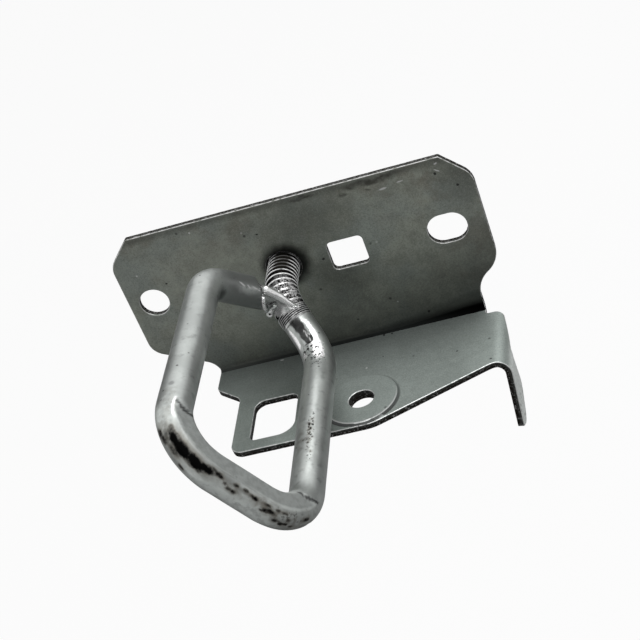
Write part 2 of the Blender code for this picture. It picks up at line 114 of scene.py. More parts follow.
# Striker loop in its own plane: across from the shank's axis, out from the plate's front face
BAR_RADIUS = 0.0036
THREAD_RADIUS = 0.0038
THREAD_PITCH = 0.001411
THREAD_DEPTH = 0.00082
THREAD_IN_FRONT = 0.0194
THREAD_RUN_OUT = 0.0016
LOOP_TURN = math.radians(57.2)
RIGHT_LEG = 0.0132
LEFT_LEG = 0.0186
CROSSBAR_OUT = 0.0789
JOG_START = 0.0117
JOG_ANGLE = math.radians(48.2)
RETURN_START = 0.0251
RETURN_ANGLE = math.radians(56.6)
SHANK_BEND = 0.013
KNEE_BEND = 0.0132
RIGHT_CORNER_BEND = 0.010
LEFT_CORNER_BEND = 0.0108
RETURN_BEND = 0.0085
CROSSBAR_WIDTH = 0.0077
CROSSBAR_THICKNESS = 0.0067
COINING_RUN = 0.004
WELD_ROOT_GAP = 0.0008

# Fastening behind the plate
SEAT_GAP = 0.0003
WELD_NUT_FLATS = 0.014
WELD_NUT_HEIGHT = 0.0065
WASHER_RADIUS = 0.0074
WASHER_BORE = 0.0041
WASHER_THICKNESS = 0.002
WASHER_SLIT = 0.0012
LOCK_NUT_FLATS = 0.013
LOCK_NUT_HEIGHT = 0.005
NUT_BORE = 0.004
NUT_CHAMFER = math.radians(30)
SHANK_TAIL = 0.0015
WELD_NUT_SEAT = SEAT_GAP
WASHER_SEAT = WELD_NUT_SEAT + WELD_NUT_HEIGHT + SEAT_GAP
LOCK_NUT_SEAT = WASHER_SEAT + WASHER_THICKNESS + SEAT_GAP
SHANK_END = LOCK_NUT_SEAT + LOCK_NUT_HEIGHT + SHANK_TAIL

# Camera at the photograph's viewpoint
EYE = (0.07973, -0.26948, 0.15393)
VIEW_RIGHT = (0.94460, 0.06474, -0.32178)
VIEW_UP = (0.23014, 0.56837, 0.78993)
VIEW_FORWARD = (-0.23403, 0.82022, -0.52199)
LENS_MM = 76.66
SENSOR_MM = 36
CLIP_START = 0.01

# Fineness
ARC_STEP = math.radians(3)
ROUND_SHARE = 0.48
EDGE_STEP = 0.0007
GRID_STEP = 0.0014
FOLD_ROWS = 15
PAD_SIDES = 96
BAR_SIDES = 96
BAR_STEP = 0.0004
SMOOTH_BELOW = math.radians(32)
SAME_PLACE = 1e-7


def rounded_corner(before, corner, after, radius):
    """Points of the arc that rounds a corner, limited by the shorter of its two sides."""
    back = before - corner
    ahead = after - corner
    half = back.angle(ahead) / 2
    reach = min(radius / math.tan(half), ROUND_SHARE * min(back.length, ahead.length))
    bisector = (back.normalized() + ahead.normalized()).normalized()
    centre = corner + bisector * reach / math.cos(half)
    arm = corner + back.normalized() * reach - centre
    sweep = math.copysign(math.pi - 2 * half, ahead.cross(back))
    steps = max(1, math.ceil(abs(sweep) / ARC_STEP))
    return [centre + Matrix.Rotation(sweep * i / steps, 2) @ arm for i in range(steps + 1)]


def rounded_outline(corners):
    """Closed outline through (x, y, radius) corners."""
    places = [Vector(corner[:2]) for corner in corners]
    points = []
    for i, (_, _, radius) in enumerate(corners):
        points += rounded_corner(places[i - 1], places[i], places[(i + 1) % len(places)], radius)
    return points


def rounded_rectangle(x, y, width, height, rounds):
    corners = zip((-1, 1, 1, -1), (-1, -1, 1, 1), rounds)
    return rounded_outline([(x + i * width / 2, y + j * height / 2, r) for i, j, r in corners])


def circle(x, y, radius, sides=72):
    turns = [math.tau * i / sides for i in range(sides)]
    return [Vector((x + radius * math.cos(turn), y + radius * math.sin(turn))) for turn in turns]


def flange_row(depth):
    """Height on the flat blank of a line on the flange, from its depth in front of the plate."""
    return FOLD_END_ROW - (depth - FLANGE_FOLD_RADIUS)


def lip_place(back, reach):
    """Place on the flat blank of a lip point: back along the lip's fold line, and past that line."""
    x = LIP_FRONT_X + reach * math.cos(LIP_FOLD_SKEW) + back * math.sin(LIP_FOLD_SKEW)
    depth = LIP_FRONT_DEPTH + reach * math.sin(LIP_FOLD_SKEW) - back * math.cos(LIP_FOLD_SKEW)
    return x, flange_row(depth)


def blank_outline():
    """Outer edge of the flat blank, anticlockwise from the top left."""
    left_neck_drop = LEFT_SHOULDER_DROP + (PLATE_LEFT - NECK_LEFT) * math.tan(LEFT_SHOULDER_SLOPE)
    right_neck_drop = RIGHT_SHOULDER_DROP + (PLATE_RIGHT - NECK_RIGHT) * math.tan(RIGHT_SHOULDER_SLOPE)
    step_end = STEP_DEPTH + (NECK_LEFT - FLANGE_LEFT) * math.tan(STEP_SLOPE)
    heel_back = (LIP_FRONT_DEPTH - FLANGE_BACK_DEPTH) / math.cos(LIP_FOLD_SKEW)
    return rounded_outline([
        (TOP_CUT - PLATE_LEFT, PLATE_TOP, SHARP_ROUND),
        (-PLATE_LEFT, PLATE_TOP - TOP_CUT, TOP_CUT_ROUND),
        (-PLATE_LEFT, -LEFT_SHOULDER_DROP, LEFT_SHOULDER_ROUND),
        (-NECK_LEFT, -left_neck_drop, LEFT_SHOULDER_ROUND),
        (-NECK_LEFT, flange_row(STEP_DEPTH), STEP_ROUND),
        (-FLANGE_LEFT, flange_row(step_end), STEP_ROUND),
        (-FLANGE_LEFT, flange_row(FLANGE_DEPTH), FLANGE_FRONT_ROUND),
        (BEVEL_START, flange_row(FLANGE_DEPTH), BEVEL_ROUND),
        *((*lip_place(back, reach), radius) for back, reach, radius in LIP_CORNERS),
        (*lip_place(heel_back, LIP_HEEL_REACH), LIP_HEEL_ROUND),
        (NECK_RIGHT, flange_row(FLANGE_BACK_DEPTH), SHARP_ROUND),
        (NECK_RIGHT, -right_neck_drop, RIGHT_SHOULDER_ROUND),
        (PLATE_RIGHT, -RIGHT_SHOULDER_DROP, RIGHT_SHOULDER_ROUND),
        (PLATE_RIGHT, PLATE_TOP - TOP_CUT, TOP_CUT_ROUND),
        (PLATE_RIGHT - TOP_CUT, PLATE_TOP, SHARP_ROUND),
    ])


def blank_holes():
    """Holes of the flat blank: shank, bolt hole, bolt slot, square hole, flange slot and pivot hole."""
    bolt_x, bolt_drop, bolt_width = BOLT_HOLE
    slot_x, slot_drop, slot_length, slot_width = BOLT_SLOT
    square_x, square_drop, square_length, square_width, square_round = SQUARE_HOLE
    flange_x, flange_depth, *flange_size = FLANGE_SLOT
    return [
        circle(0, 0, THREAD_RADIUS + SHANK_HOLE_CLEARANCE),
        circle(bolt_x, -bolt_drop, bolt_width / 2),
        rounded_rectangle(slot_x, -slot_drop, slot_length, slot_width, [slot_width / 2] * 4),
        rounded_rectangle(square_x, -square_drop, square_length, square_width, [square_round] * 4),
        rounded_rectangle(flange_x, flange_row(flange_depth), *flange_size, FLANGE_SLOT_ROUNDS),
        circle(PIVOT_X, flange_row(PIVOT_DEPTH), PIVOT_RADIUS),
    ]


# Start of the lip's fold line, the ways past it and back along it, and radii of the pad's steps
LIP_START = np.array(lip_place(0, 0))
LIP_AWAY = np.array(lip_place(0, 1)) - LIP_START
LIP_BACK = np.array(lip_place(1, 0)) - LIP_START
PAD_CENTRE = np.array((PIVOT_X, flange_row(PIVOT_DEPTH)))
PAD_TOP = PAD_RADIUS - PAD_DRAFT
PUNCH = PAD_TOP - PUNCH_CLEARANCE
PUNCH_WALL = 0.00008
COLLAR = PIVOT_RADIUS + COLLAR_WALL
COLLAR_STEP = 0.0002

# Radii of the rings of points that shape the pad on the sheet's upper side and on its under side
UPPER_RINGS = (
    PAD_RADIUS + 0.0003, PAD_RADIUS, PAD_RADIUS - 0.00006, PAD_TOP + 0.00006, PAD_TOP, PAD_TOP - 0.0002,
    0.0070, 0.0055, 0.0042,
)
UNDER_RINGS = (
    PAD_RADIUS, PUNCH + PUNCH_WALL, PUNCH, PUNCH - 0.0003, 0.0060, COLLAR + COLLAR_STEP, COLLAR,
    COLLAR - 0.0001,
)

# Points of the sheet's flat sides: how far they keep off folds, run past them, keep off the pad and edges
FOLD_MARGIN = 0.001
FOLD_EDGE = 0.0003
PAD_MARGIN = 0.0006
EDGE_MARGIN = 0.00055

# Rows of points back along the lip's fold, their overrun at its end, and edge points looked at together
LIP_FOLD_BACKS = np.arange(-0.002, 0.024, GRID_STEP / 1.5)
LIP_FOLD_OVERRUN = 0.0001
POINTS_AT_ONCE = 64

# Sheared edge: rounded on the punch's side, smooth for a while, then torn and rough. The cut values tell
# the material how far round the edge a point is
ROLL = 0.00024
ROLL_STEPS = 4
SMOOTH_SHARE = 0.32
TEAR = 0.00008
TEAR_SCALE = 700
FINE_TEAR = 3.1
LOOP_SEED = 11.3
BURR = 0.00005
CAP_RIM = 0.00006
ROLL_CUT = 0.3
SMOOTH_CUT = 0.55
BURR_CUT = 0.8

# Twice the area under which a flat triangle is only a stretch of straight edge, and the gap that merges
# points of the flat sides
SLIVER = 4e-12
MERGE_GAP = 1e-9

# Slight unevenness of the sheet: height and how close its waves are
WAVE_HEIGHT = 0.00002
WAVE_SCALE = 60
WAVE_SEED = 4.2


def row_lengths(rows):
    return np.linalg.norm(rows, axis=1)


def smooth(low, high, values):
    """0 at low, 1 at high and an even curve between, for each value."""
    share = ((np.asarray(values, float) - low) / (high - low)).clip(0, 1)
    return share * share * (3 - 2 * share)


def band(first, second, count):
    """Faces between two closed rings of points, from the index at which each ring starts."""
    ahead = [(i + 1) % count for i in range(count)]
    return [(first + i, second + i, second + j, first + j) for i, j in enumerate(ahead)]


def new_mesh(name, verts, faces):
    mesh = bpy.data.meshes.new(name)
    mesh.from_pydata(verts, [], faces)
    return mesh


def taken(name, bm):
    """What is in the bmesh as a new mesh."""
    mesh = bpy.data.meshes.new(name)
    bm.to_mesh(mesh)
    bm.free()
    return mesh


def linked(name, data):
    """A new object of the scene."""
    made = bpy.data.objects.new(name, data)
    bpy.context.scene.collection.objects.link(made)
    return made


def link_object(name, mesh, material):
    mesh.materials.append(material)
    mesh.shade_smooth()
    mesh.set_sharp_from_angle(angle=SMOOTH_BELOW)
    return linked(name, mesh)


def add_attribute(mesh, name, values):
    layer = mesh.attributes.new(name, "FLOAT", "POINT")
    layer.data.foreach_set("value", np.asarray(values, np.float32))


def closed(mesh):
    """The mesh with coinciding points merged, its open ends capped and its normals outward."""
    bm = bmesh.new()
    bm.from_mesh(mesh)
    bmesh.ops.remove_doubles(bm, verts=bm.verts, dist=SAME_PLACE)
    bmesh.ops.dissolve_degenerate(bm, edges=bm.edges, dist=SAME_PLACE)
    open_edges = [edge for edge in bm.edges if edge.is_boundary]
    bmesh.ops.holes_fill(bm, edges=open_edges, sides=0)
    bmesh.ops.recalc_face_normals(bm, faces=bm.faces)
    bm.to_mesh(mesh)
    bm.free()
    return mesh


def resampled(outline):
    """The closed outline as an array with no two points further apart than the edge's step."""
    points = np.array(outline, float)
    out = []
    for start, end in zip(points, np.roll(points, -1, axis=0)):
        length = np.linalg.norm(end - start)
        if length >= SAME_PLACE:
            count = max(1, math.ceil(length / EDGE_STEP))
            out += [start + (end - start) * i / count for i in range(count)]
    return np.array(out)


def edge_normals(loop, sign):
    """Directions out of the material along an anticlockwise loop: sign 1 for the outside, -1 for a hole."""
    ahead = np.roll(loop, -1, axis=0) - loop
    ahead /= row_lengths(ahead)[:, None]
    normal = np.stack([ahead[:, 1], -ahead[:, 0]], axis=1)
    both = normal + np.roll(normal, 1, axis=0)
    return sign * both / row_lengths(both)[:, None]


def inside(points, loop):
    """Which points lie inside a closed loop."""
    x, y = points[:, 0][:, None], points[:, 1][:, None]
    x0, y0 = loop.T[:, None]
    x1, y1 = np.roll(loop, -1, axis=0).T[:, None]
    spans = (y0 > y) != (y1 > y)
    rise = np.where(y1 == y0, 1, y1 - y0)
    crossing = x0 + (y - y0) * (x1 - x0) / rise
    return (spans & (x < crossing)).sum(1) % 2 == 1


def in_sheet(points, loops):
    """Which points lie inside the first loop and outside the holes that follow it."""
    keep = inside(points, loops[0])
    for hole in loops[1:]:
        keep &= ~inside(points, hole)
    return keep


def edge_rings(loop, normals, seed):
    """Rings of (x, y, z, cut) from the sheet's upper side, round its edge, to its under side."""
    places = [Vector((*p, seed)) for p in loop * TEAR_SCALE]
    coarse = np.array([noise.noise(p) for p in places])
    fine = np.array([noise.noise(p * FINE_TEAR) for p in places])
    torn = TEAR * (0.6 + 0.5 * coarse + 0.5 * fine).clip(0, 1.3)
    burr = torn * 0.5 + BURR
    rows = [(ROLL + CAP_RIM, HALF, 0)]
    for share in np.linspace(0, 1, ROLL_STEPS + 1):
        turn = math.pi / 2 * share
        rows.append((ROLL * (1 - math.sin(turn)), HALF - ROLL * (1 - math.cos(turn)), ROLL_CUT * share))
    rows += [
        (0, HALF - SHEET * (SMOOTH_SHARE + 0.10 * coarse + 0.05 * fine), SMOOTH_CUT),
        (torn, -HALF + SHEET * (0.30 + 0.08 * fine), 1),
        (torn * 0.7, -HALF + SHEET * 0.10, 1),
        (burr, -HALF, BURR_CUT),
        (burr + CAP_RIM, -HALF, 0),
    ]
    rings = []
    for inset, height, cut in rows:
        flat = loop - normals * np.reshape(inset, (-1, 1))
        sides = [np.broadcast_to(row, len(loop)) for row in (height, cut)]
        rings.append(np.column_stack([flat, *sides]))
    return rings


def crossings_of(xs, ys):
    """Places where columns at xs cross rows at ys."""
    return np.stack(np.meshgrid(xs, ys), -1).reshape(-1, 2)


def inner_points(loops, upper):
    """Points that shape the sheet's flat sides: a grid, rows across both folds and the pad's rings."""
    low, high = loops[0].min(0), loops[0].max(0)
    xs = np.arange(low[0], high[0], GRID_STEP)
    grid = crossings_of(xs, np.arange(low[1], high[1], GRID_STEP))
    up = grid[:, 1]
    reach = (grid - LIP_START) @ LIP_AWAY
    off_fold = (up > FLANGE_FOLD_ROW + FOLD_MARGIN) | (up < FOLD_END_ROW - FOLD_MARGIN)
    in_lip_fold = (up < flange_row(0)) & (reach > -FOLD_MARGIN) & (reach < LIP_FOLD_LENGTH + FOLD_MARGIN)
    off_pad = row_lengths(grid - PAD_CENTRE) > PAD_RADIUS + PAD_MARGIN
    rows = np.linspace(FLANGE_FOLD_ROW + FOLD_EDGE, FOLD_END_ROW - FOLD_EDGE, FOLD_ROWS)
    reaches = np.linspace(-FOLD_EDGE, LIP_FOLD_LENGTH + FOLD_EDGE, FOLD_ROWS)
    lip_fold = np.array([LIP_START + LIP_AWAY * r + LIP_BACK * b for r in reaches for b in LIP_FOLD_BACKS])
    lip_fold = lip_fold[lip_fold[:, 1] < flange_row(FLANGE_BACK_DEPTH) + LIP_FOLD_OVERRUN]
    turns = np.linspace(0, math.tau, PAD_SIDES, endpoint=False)
    rings = [PAD_CENTRE + r * np.array((math.cos(t), math.sin(t)))
             for r in (UPPER_RINGS if upper else UNDER_RINGS) for t in turns]
    grid = grid[off_fold & ~in_lip_fold & off_pad]
    points = np.concatenate([grid, crossings_of(xs, rows), lip_fold, rings])
    points = points[in_sheet(points, loops)]
    near = np.full(len(points), np.inf)
    for loop in loops:
        for part in np.array_split(loop, max(1, len(loop) // POINTS_AT_ONCE)):
            near = np.minimum(near, np.linalg.norm(points[:, None] - part, axis=2).min(1))
    return points[near > EDGE_MARGIN]


def cap_faces(loops, extra, upper):
    """Triangles over a flat side of the sheet, by index into its loops' points and then the extra ones."""
    edges, first = [], 0
    for loop in loops:
        edges += [(first + i, first + (i + 1) % len(loop)) for i in range(len(loop))]
        first += len(loop)
    places = [Vector(p) for p in np.concatenate([*loops, extra])]
    _, _, tris, origins, _, _ = delaunay_2d_cdt(places, edges, [], 0, MERGE_GAP)
    flat = np.array(places)
    tris = np.array([[origins[i][0] for i in tri] for tri in tris])
    a, b, c = (flat[tris[:, k]] for k in range(3))
    area = np.cross(b - a, c - a)
    keep = in_sheet(flat[tris].mean(1), loops) & (np.abs(area) > SLIVER)
    return np.where(((area > 0) == upper)[:, None], tris, tris[:, ::-1])[keep]


def inside_rim(radius, rim, wall):
    """0 outside a rim, rising to 1 over the width of its wall."""
    return ((rim - radius) / wall).clip(0, 1)


def pad_lift(flat, upper):
    """How far the pressed pad lifts points of the sheet's upper or under side."""
    radius = row_lengths(flat - PAD_CENTRE)
    if upper:
        return PAD_RISE * inside_rim(radius, PAD_RADIUS, PAD_DRAFT)
    lift = PAD_RISE * inside_rim(radius, PUNCH + PUNCH_WALL, PUNCH_WALL)
    return lift - (PAD_RISE + COLLAR_REACH) * inside_rim(radius, COLLAR + COLLAR_STEP, COLLAR_STEP)


def folded(places, line, away, radius, angle, towards, beyond=True):
    """Fold points beyond a line towards the sheet's upper side (1) or its under side (-1)."""
    middle = radius + HALF
    out = (places[:, :2] - line) @ away
    chosen = (out > 0) & beyond
    out = out[chosen]
    turn = np.minimum(out / middle, angle)
    past = np.maximum(out - angle * middle, 0)
    arm = middle - towards * places[chosen, 2]
    along = arm * np.sin(turn) + past * np.cos(turn)
    places[chosen, :2] += (along - out)[:, None] * away
    places[chosen, 2] = towards * (middle - arm * np.cos(turn) + past * np.sin(turn))


def blank_mesh():
    """Points of the flat blank as (x, y, z, cut), and its faces."""
    loops = [resampled(loop) for loop in (blank_outline(), *blank_holes())]
    verts, faces, starts = np.empty((0, 4)), [], []
    for k, loop in enumerate(loops):
        rings = edge_rings(loop, edge_normals(loop, -1 if k else 1), LOOP_SEED * k)
        firsts = [len(verts) + i * len(loop) for i in range(len(rings))]
        for first, second in zip(firsts, firsts[1:]):
            quads = band(first, second, len(loop))
            faces += [quad[::-1] for quad in quads] if k else quads
        starts.append((firsts[0], firsts[-1]))
        verts = np.concatenate([verts, *rings])
    for side, upper in enumerate((True, False)):
        index = [start[side] + np.arange(len(loop)) for start, loop in zip(starts, loops)]
        cap_loops = [verts[row, :2] for row in index]
        extra = inner_points(cap_loops, upper)
        index = np.concatenate([*index, len(verts) + np.arange(len(extra))])
        faces += index[cap_faces(cap_loops, extra, upper)].tolist()
        height = np.full(len(extra), HALF if upper else -HALF)
        verts = np.concatenate([verts, np.column_stack([extra, height, np.zeros(len(extra))])])
    return verts, faces


def plate_mesh():
    """The folded plate with rounded and torn edges, a pressed pad and slightly uneven sides."""
    verts, faces = blank_mesh()
    places = verts[:, :3].copy()
    flat = places[:, :2].copy()
    places[:, 2] += np.where(places[:, 2] > 0, pad_lift(flat, True), pad_lift(flat, False))
    waves = [noise.noise(Vector((x * WAVE_SCALE, y * WAVE_SCALE, WAVE_SEED))) for x, y in flat]
    places[:, 2] += WAVE_HEIGHT * np.array(waves)
    unfolded = places.astype(np.float32).ravel()
    on_flange = places[:, 1] < flange_row(0)
    folded(places, LIP_START, LIP_AWAY, LIP_FOLD_RADIUS, LIP_FOLD_ANGLE, -1, on_flange)
    folded(places, np.array((0, FLANGE_FOLD_ROW)), np.array((0, -1)), FLANGE_FOLD_RADIUS, math.pi / 2, 1)
    upright = np.column_stack([places[:, 0], -places[:, 2] - HALF, places[:, 1]])
    mesh = new_mesh("plate_sheet", upright.tolist(), faces)
    add_attribute(mesh, "cut", verts[:, 3])
    mesh.attributes.new("flat", "FLOAT_VECTOR", "POINT").data.foreach_set("vector", unfolded)
    return mesh


def return_end():
    """Place of the bar's free end, one root gap short of the outside of the shank's bend."""
    corner = Vector((-LEFT_LEG, RETURN_START))
    ahead = corner + CROSSBAR_OUT * Vector((math.sin(RETURN_ANGLE), -math.cos(RETURN_ANGLE)))
    bend_centre = Vector((SHANK_BEND, JOG_START - SHANK_BEND * math.tan(JOG_ANGLE / 2)))
    stop = SHANK_BEND + THREAD_RADIUS + WELD_ROOT_GAP
    crossings = intersect_line_sphere_2d(corner, ahead, bend_centre, stop, False)
    return min(crossings, key=lambda place: (place - corner).length)


def bar_path():
    """Centreline of the bar in the loop's plane, from the shank's end round to its free end."""
    corners = [
        (0, JOG_START, SHANK_BEND),
        (RIGHT_LEG, JOG_START + RIGHT_LEG / math.tan(JOG_ANGLE), KNEE_BEND),
        (RIGHT_LEG, CROSSBAR_OUT, RIGHT_CORNER_BEND),
        (-LEFT_LEG, CROSSBAR_OUT, LEFT_CORNER_BEND),
        (-LEFT_LEG, RETURN_START, RETURN_BEND),
    ]
    places = [Vector((0, -SHANK_BACK)), *(Vector(c[:2]) for c in corners), return_end()]
    path = [places[0]]
    for i, (_, _, bend) in enumerate(corners):
        path += rounded_corner(places[i], places[i + 1], places[i + 2], bend)
    return np.array(path + [places[-1]])


SHANK_BACK = SHEET + SHANK_END
PATH = bar_path()
PATH_STEPS = row_lengths(np.diff(PATH, axis=0))
PATH_LENGTHS = np.concatenate([[0], np.cumsum(PATH_STEPS)])
PATH_WAYS = np.diff(PATH, axis=0) / PATH_STEPS[:, None]
PATH_TANGENTS = np.concatenate([PATH_WAYS[:1], (PATH_WAYS[1:] + PATH_WAYS[:-1]) / 2, PATH_WAYS[-1:]])
BAR_LENGTH = PATH_LENGTHS[-1]

STRIKER_ACROSS = np.array((math.cos(LOOP_TURN), 0, -math.sin(LOOP_TURN)))
STRIKER_OUT = np.array((0, -1, 0))
STRIKER_WAYS = np.array((STRIKER_ACROSS, STRIKER_OUT, np.cross(STRIKER_ACROSS, STRIKER_OUT)))


def to_world(places):
    """Places in the striker's frame, (across, out, under), as world places."""
    return np.asarray(places, float) @ STRIKER_WAYS + np.array((0, -SHEET, 0))


def on_path(rows, lengths):
    """Values that are known at the path's points, at other lengths along the path."""
    return np.column_stack([np.interp(lengths, PATH_LENGTHS, column) for column in rows.T])


def bar_places(lengths, turns, radii):
    """Places on the bar: length from the shank's end, turn round the bar from the loop's inside, radius."""
    tangent = on_path(PATH_TANGENTS, lengths)
    tangent /= row_lengths(tangent)[:, None]
    inward = np.column_stack([-tangent[:, 1], tangent[:, 0]])
    flat = on_path(PATH, lengths) + inward * (radii * np.cos(turns))[:, None]
    return np.column_stack([flat, radii * np.sin(turns)])


def turn_gap(turns, centre):
    """Signed angle from centre, between minus pi and pi."""
    return (turns - centre + math.pi) % math.tau - math.pi


# Flats pressed on the bar: length in front of the plate from and to, their slants, turn, and depth
CROSSBAR_FLAT = (0.0788, 0.1140, 0.0016, -0.0004, math.radians(270), 0.00056)
OUTER_FLAT = (0.0788, 0.1140, 0.0016, -0.0004, math.radians(182), 0.00016)
JOG_FLAT = (0.0208, 0.0268, 0.0, 0.0006, math.radians(335), 0.00030)
FLAT_STEP = 0.0005
LEAST_COSINE = 0.2

# Uneven surface of the bar: height of its lumps, and how close the broad and the fine ones are
LUMP_HEIGHT = 0.000018
BROAD_LUMPS = 260
FINE_LUMPS = 700


def flattened(radii, lengths, turns, flat):
    """The radii cut back to a flat across the bar, with a short step at each end."""
    start, end, start_slant, end_slant, turn, depth = flat
    ahead = lengths - SHANK_BACK
    gap = turn_gap(turns, turn)
    from_start = smooth(0, FLAT_STEP, ahead - start - start_slant * gap)
    to_end = smooth(0, FLAT_STEP, end + end_slant * gap - ahead)
    plane = (BAR_RADIUS - depth) / np.maximum(np.cos(gap), LEAST_COSINE)
    return radii - from_start * to_end * np.maximum(radii - plane, 0)


def bar_radii(lengths, turns):
    """Radius of the plain bar: its pressed crossbar, flats and a slightly uneven surface."""
    places = bar_places(lengths, turns, BAR_RADIUS)
    left, right = LEFT_CORNER_BEND - LEFT_LEG, RIGHT_LEG - RIGHT_CORNER_BEND
    past = np.maximum(np.maximum(left - places[:, 0], places[:, 0] - right), 0)
    share = (1 + np.cos(math.pi * (past / COINING_RUN).clip(0, 1))) / 2
    share = np.where(places[:, 1] > CROSSBAR_OUT - 3 * BAR_RADIUS, share, 0)
    wide = 1 + share * (CROSSBAR_WIDTH / 2 / BAR_RADIUS - 1)
    thick = 1 + share * (CROSSBAR_THICKNESS / 2 / BAR_RADIUS - 1)
    radii = BAR_RADIUS / np.hypot(np.cos(turns) / thick, np.sin(turns) / wide)
    for flat in (CROSSBAR_FLAT, OUTER_FLAT, JOG_FLAT):
        radii = flattened(radii, lengths, turns, flat)
    lumps = waver(lengths, turns, BROAD_LUMPS) + 0.5 * waver(lengths, turns, FINE_LUMPS)
    return radii - LUMP_HEIGHT * (1 + lumps)


# Thread: phase along one pitch, and depth there as a share of the thread's depth
THREAD_PROFILE = (
    (0.0, 0.0), (0.13, 0.0), (0.235, 0.33), (0.34, 0.68), (0.44, 0.97),
    (0.565, 1.0), (0.69, 0.97), (0.79, 0.68), (0.895, 0.33),
)
THREAD_LENGTH = SHANK_BACK + THREAD_IN_FRONT
THREAD_ROWS = 21
TAIL_CHAMFER = 0.0009

# Free end of the bar: its length in front of the plate, how far its underside reaches on, and its rim
BAR_STOP = 0.1752
BAR_STOP_SLANT = 0.0030
BAR_STOP_ROWS = 14
BAR_RIM = 0.0006
PLAIN_START_RUN = 0.0015

# Close, shallow rings where the thread runs out on the jog: start and full length, rings per pitch, depth
FINE_RINGS = (0.0150, 0.0168)
FINE_RINGS_PER_PITCH = 3
FINE_RING_DEPTH = 0.50

# Threads melted beside the weld: length in front of the plate, turn, half length, half turn, strength
MELTED = (
    (0.0105, 300, 0.0022, 38, 0.8),
    (0.0130, 292, 0.0028, 44, 1.0),
    (0.0162, 288, 0.0016, 24, 0.6),
    (0.0150, 330, 0.0030, 40, 1.0),
)
MELTED_SHARE = 0.75
MELTED_RAGGED = 1300


def run_out(lengths):
    """How far the thread has faded into the plain bar, from 0 to 1."""
    return smooth(THREAD_LENGTH - THREAD_RUN_OUT, THREAD_LENGTH, lengths)


def thread_radii(lengths, turns, phases):
    """Radius of the threaded shank: the thread's form, its chamfered tail, run-out and melted places."""
    depths = np.interp(phases, *zip(*THREAD_PROFILE), period=1)
    rings = FINE_RING_DEPTH * (1 - np.cos(math.tau * FINE_RINGS_PER_PITCH * phases)) / 2
    fine = smooth(*FINE_RINGS, lengths - SHANK_BACK)
    depths = depths * (1 - fine) + rings * fine
    ragged = 0.8 * waver(lengths, turns, MELTED_RAGGED)
    depths *= 1 - MELTED_SHARE * blotch(lengths, turns, MELTED, ragged)
    crest = np.minimum(THREAD_RADIUS, THREAD_RADIUS - TAIL_CHAMFER + lengths)
    fade = run_out(lengths)
    return np.minimum(THREAD_RADIUS - THREAD_DEPTH * depths, crest) * (1 - fade) + BAR_RADIUS * fade


def thread_rows(turns):
    """Lengths along the bar and phase of each row of points that follows the thread's helix."""
    rows = []
    for pitch in range(-1, math.ceil(THREAD_LENGTH / THREAD_PITCH) + 2):
        for phase in np.arange(THREAD_ROWS) / THREAD_ROWS:
            lengths = (THREAD_PITCH * (pitch + phase + turns / math.tau)).clip(0, THREAD_LENGTH)
            if lengths.max() > 0 and lengths.min() < THREAD_LENGTH:
                rows.append((lengths, phase))
    return zip(*rows)


def thread_faces(rows):
    """Faces of the helix. The last side of each row meets the first side of the row one pitch on."""
    faces = []
    for row in range(rows - 1):
        start = row * BAR_SIDES
        faces += band(start, start + BAR_SIDES, BAR_SIDES)[:-1]
        if row + 1 + THREAD_ROWS < rows:
            last, joined = start + BAR_SIDES - 1, (row + THREAD_ROWS) * BAR_SIDES
            faces.append((last, last + BAR_SIDES, joined + BAR_SIDES, joined))
    return faces


def bar_mesh():
    """The whole bar: a right-hand thread along the shank and its bend, then the plain bent bar."""
    turns = np.linspace(0, math.tau, BAR_SIDES, endpoint=False)
    rows, phases = thread_rows(turns)
    faces = thread_faces(len(rows))
    stop = SHANK_BACK + BAR_STOP + BAR_STOP_SLANT * np.sin(turns)
    straight_end = stop.min() - 2 * BAR_RIM
    steps = math.ceil((straight_end - THREAD_LENGTH) / BAR_STEP)
    slanted = np.sin(math.pi / 2 * np.arange(1, BAR_STOP_ROWS + 1) / BAR_STOP_ROWS)
    plain_rows = [np.full(BAR_SIDES, at) for at in np.linspace(THREAD_LENGTH, straight_end, steps + 1)]
    plain_rows += [straight_end + (stop - straight_end) * share for share in slanted]
    first = len(rows) * BAR_SIDES
    for row in range(len(plain_rows) - 1):
        start = first + row * BAR_SIDES
        faces += band(start, start + BAR_SIDES, BAR_SIDES)
    lengths = np.concatenate([*rows, *plain_rows])
    faces.append(tuple(range(len(lengths) - BAR_SIDES, len(lengths))))
    all_turns = np.resize(turns, len(lengths))
    cut, plain = lengths[:first], lengths[first:]
    cut_radii = thread_radii(cut, all_turns[:first], np.repeat(phases, BAR_SIDES))
    crests = THREAD_RADIUS - (THREAD_RADIUS - BAR_RADIUS) * run_out(cut)
    crests = np.minimum(crests, THREAD_RADIUS - TAIL_CHAMFER + cut)
    in_rim = (1 - (np.resize(stop, len(plain)) - plain) / BAR_RIM).clip(0, 1)
    plain_radii = bar_radii(plain, all_turns[first:]) - BAR_RIM * (1 - np.sqrt(1 - in_rim ** 2))
    plain_radii = BAR_RADIUS + (plain_radii - BAR_RADIUS) * smooth(0, PLAIN_START_RUN, plain - THREAD_LENGTH)
    places = bar_places(lengths, all_turns, np.concatenate([cut_radii, plain_radii]))
    mesh = new_mesh("striker_bar", to_world(places).tolist(), faces)
    root = ((crests - cut_radii) / THREAD_DEPTH).clip(0, 1)
    add_attribute(mesh, "root", np.concatenate([root, np.zeros(len(plain))]))
    add_attribute(mesh, "threaded", smooth(THREAD_LENGTH, THREAD_LENGTH - THREAD_RUN_OUT, lengths))
    for name, values in bar_marks(lengths, all_turns).items():
        add_attribute(mesh, name, values)
    return closed(mesh)


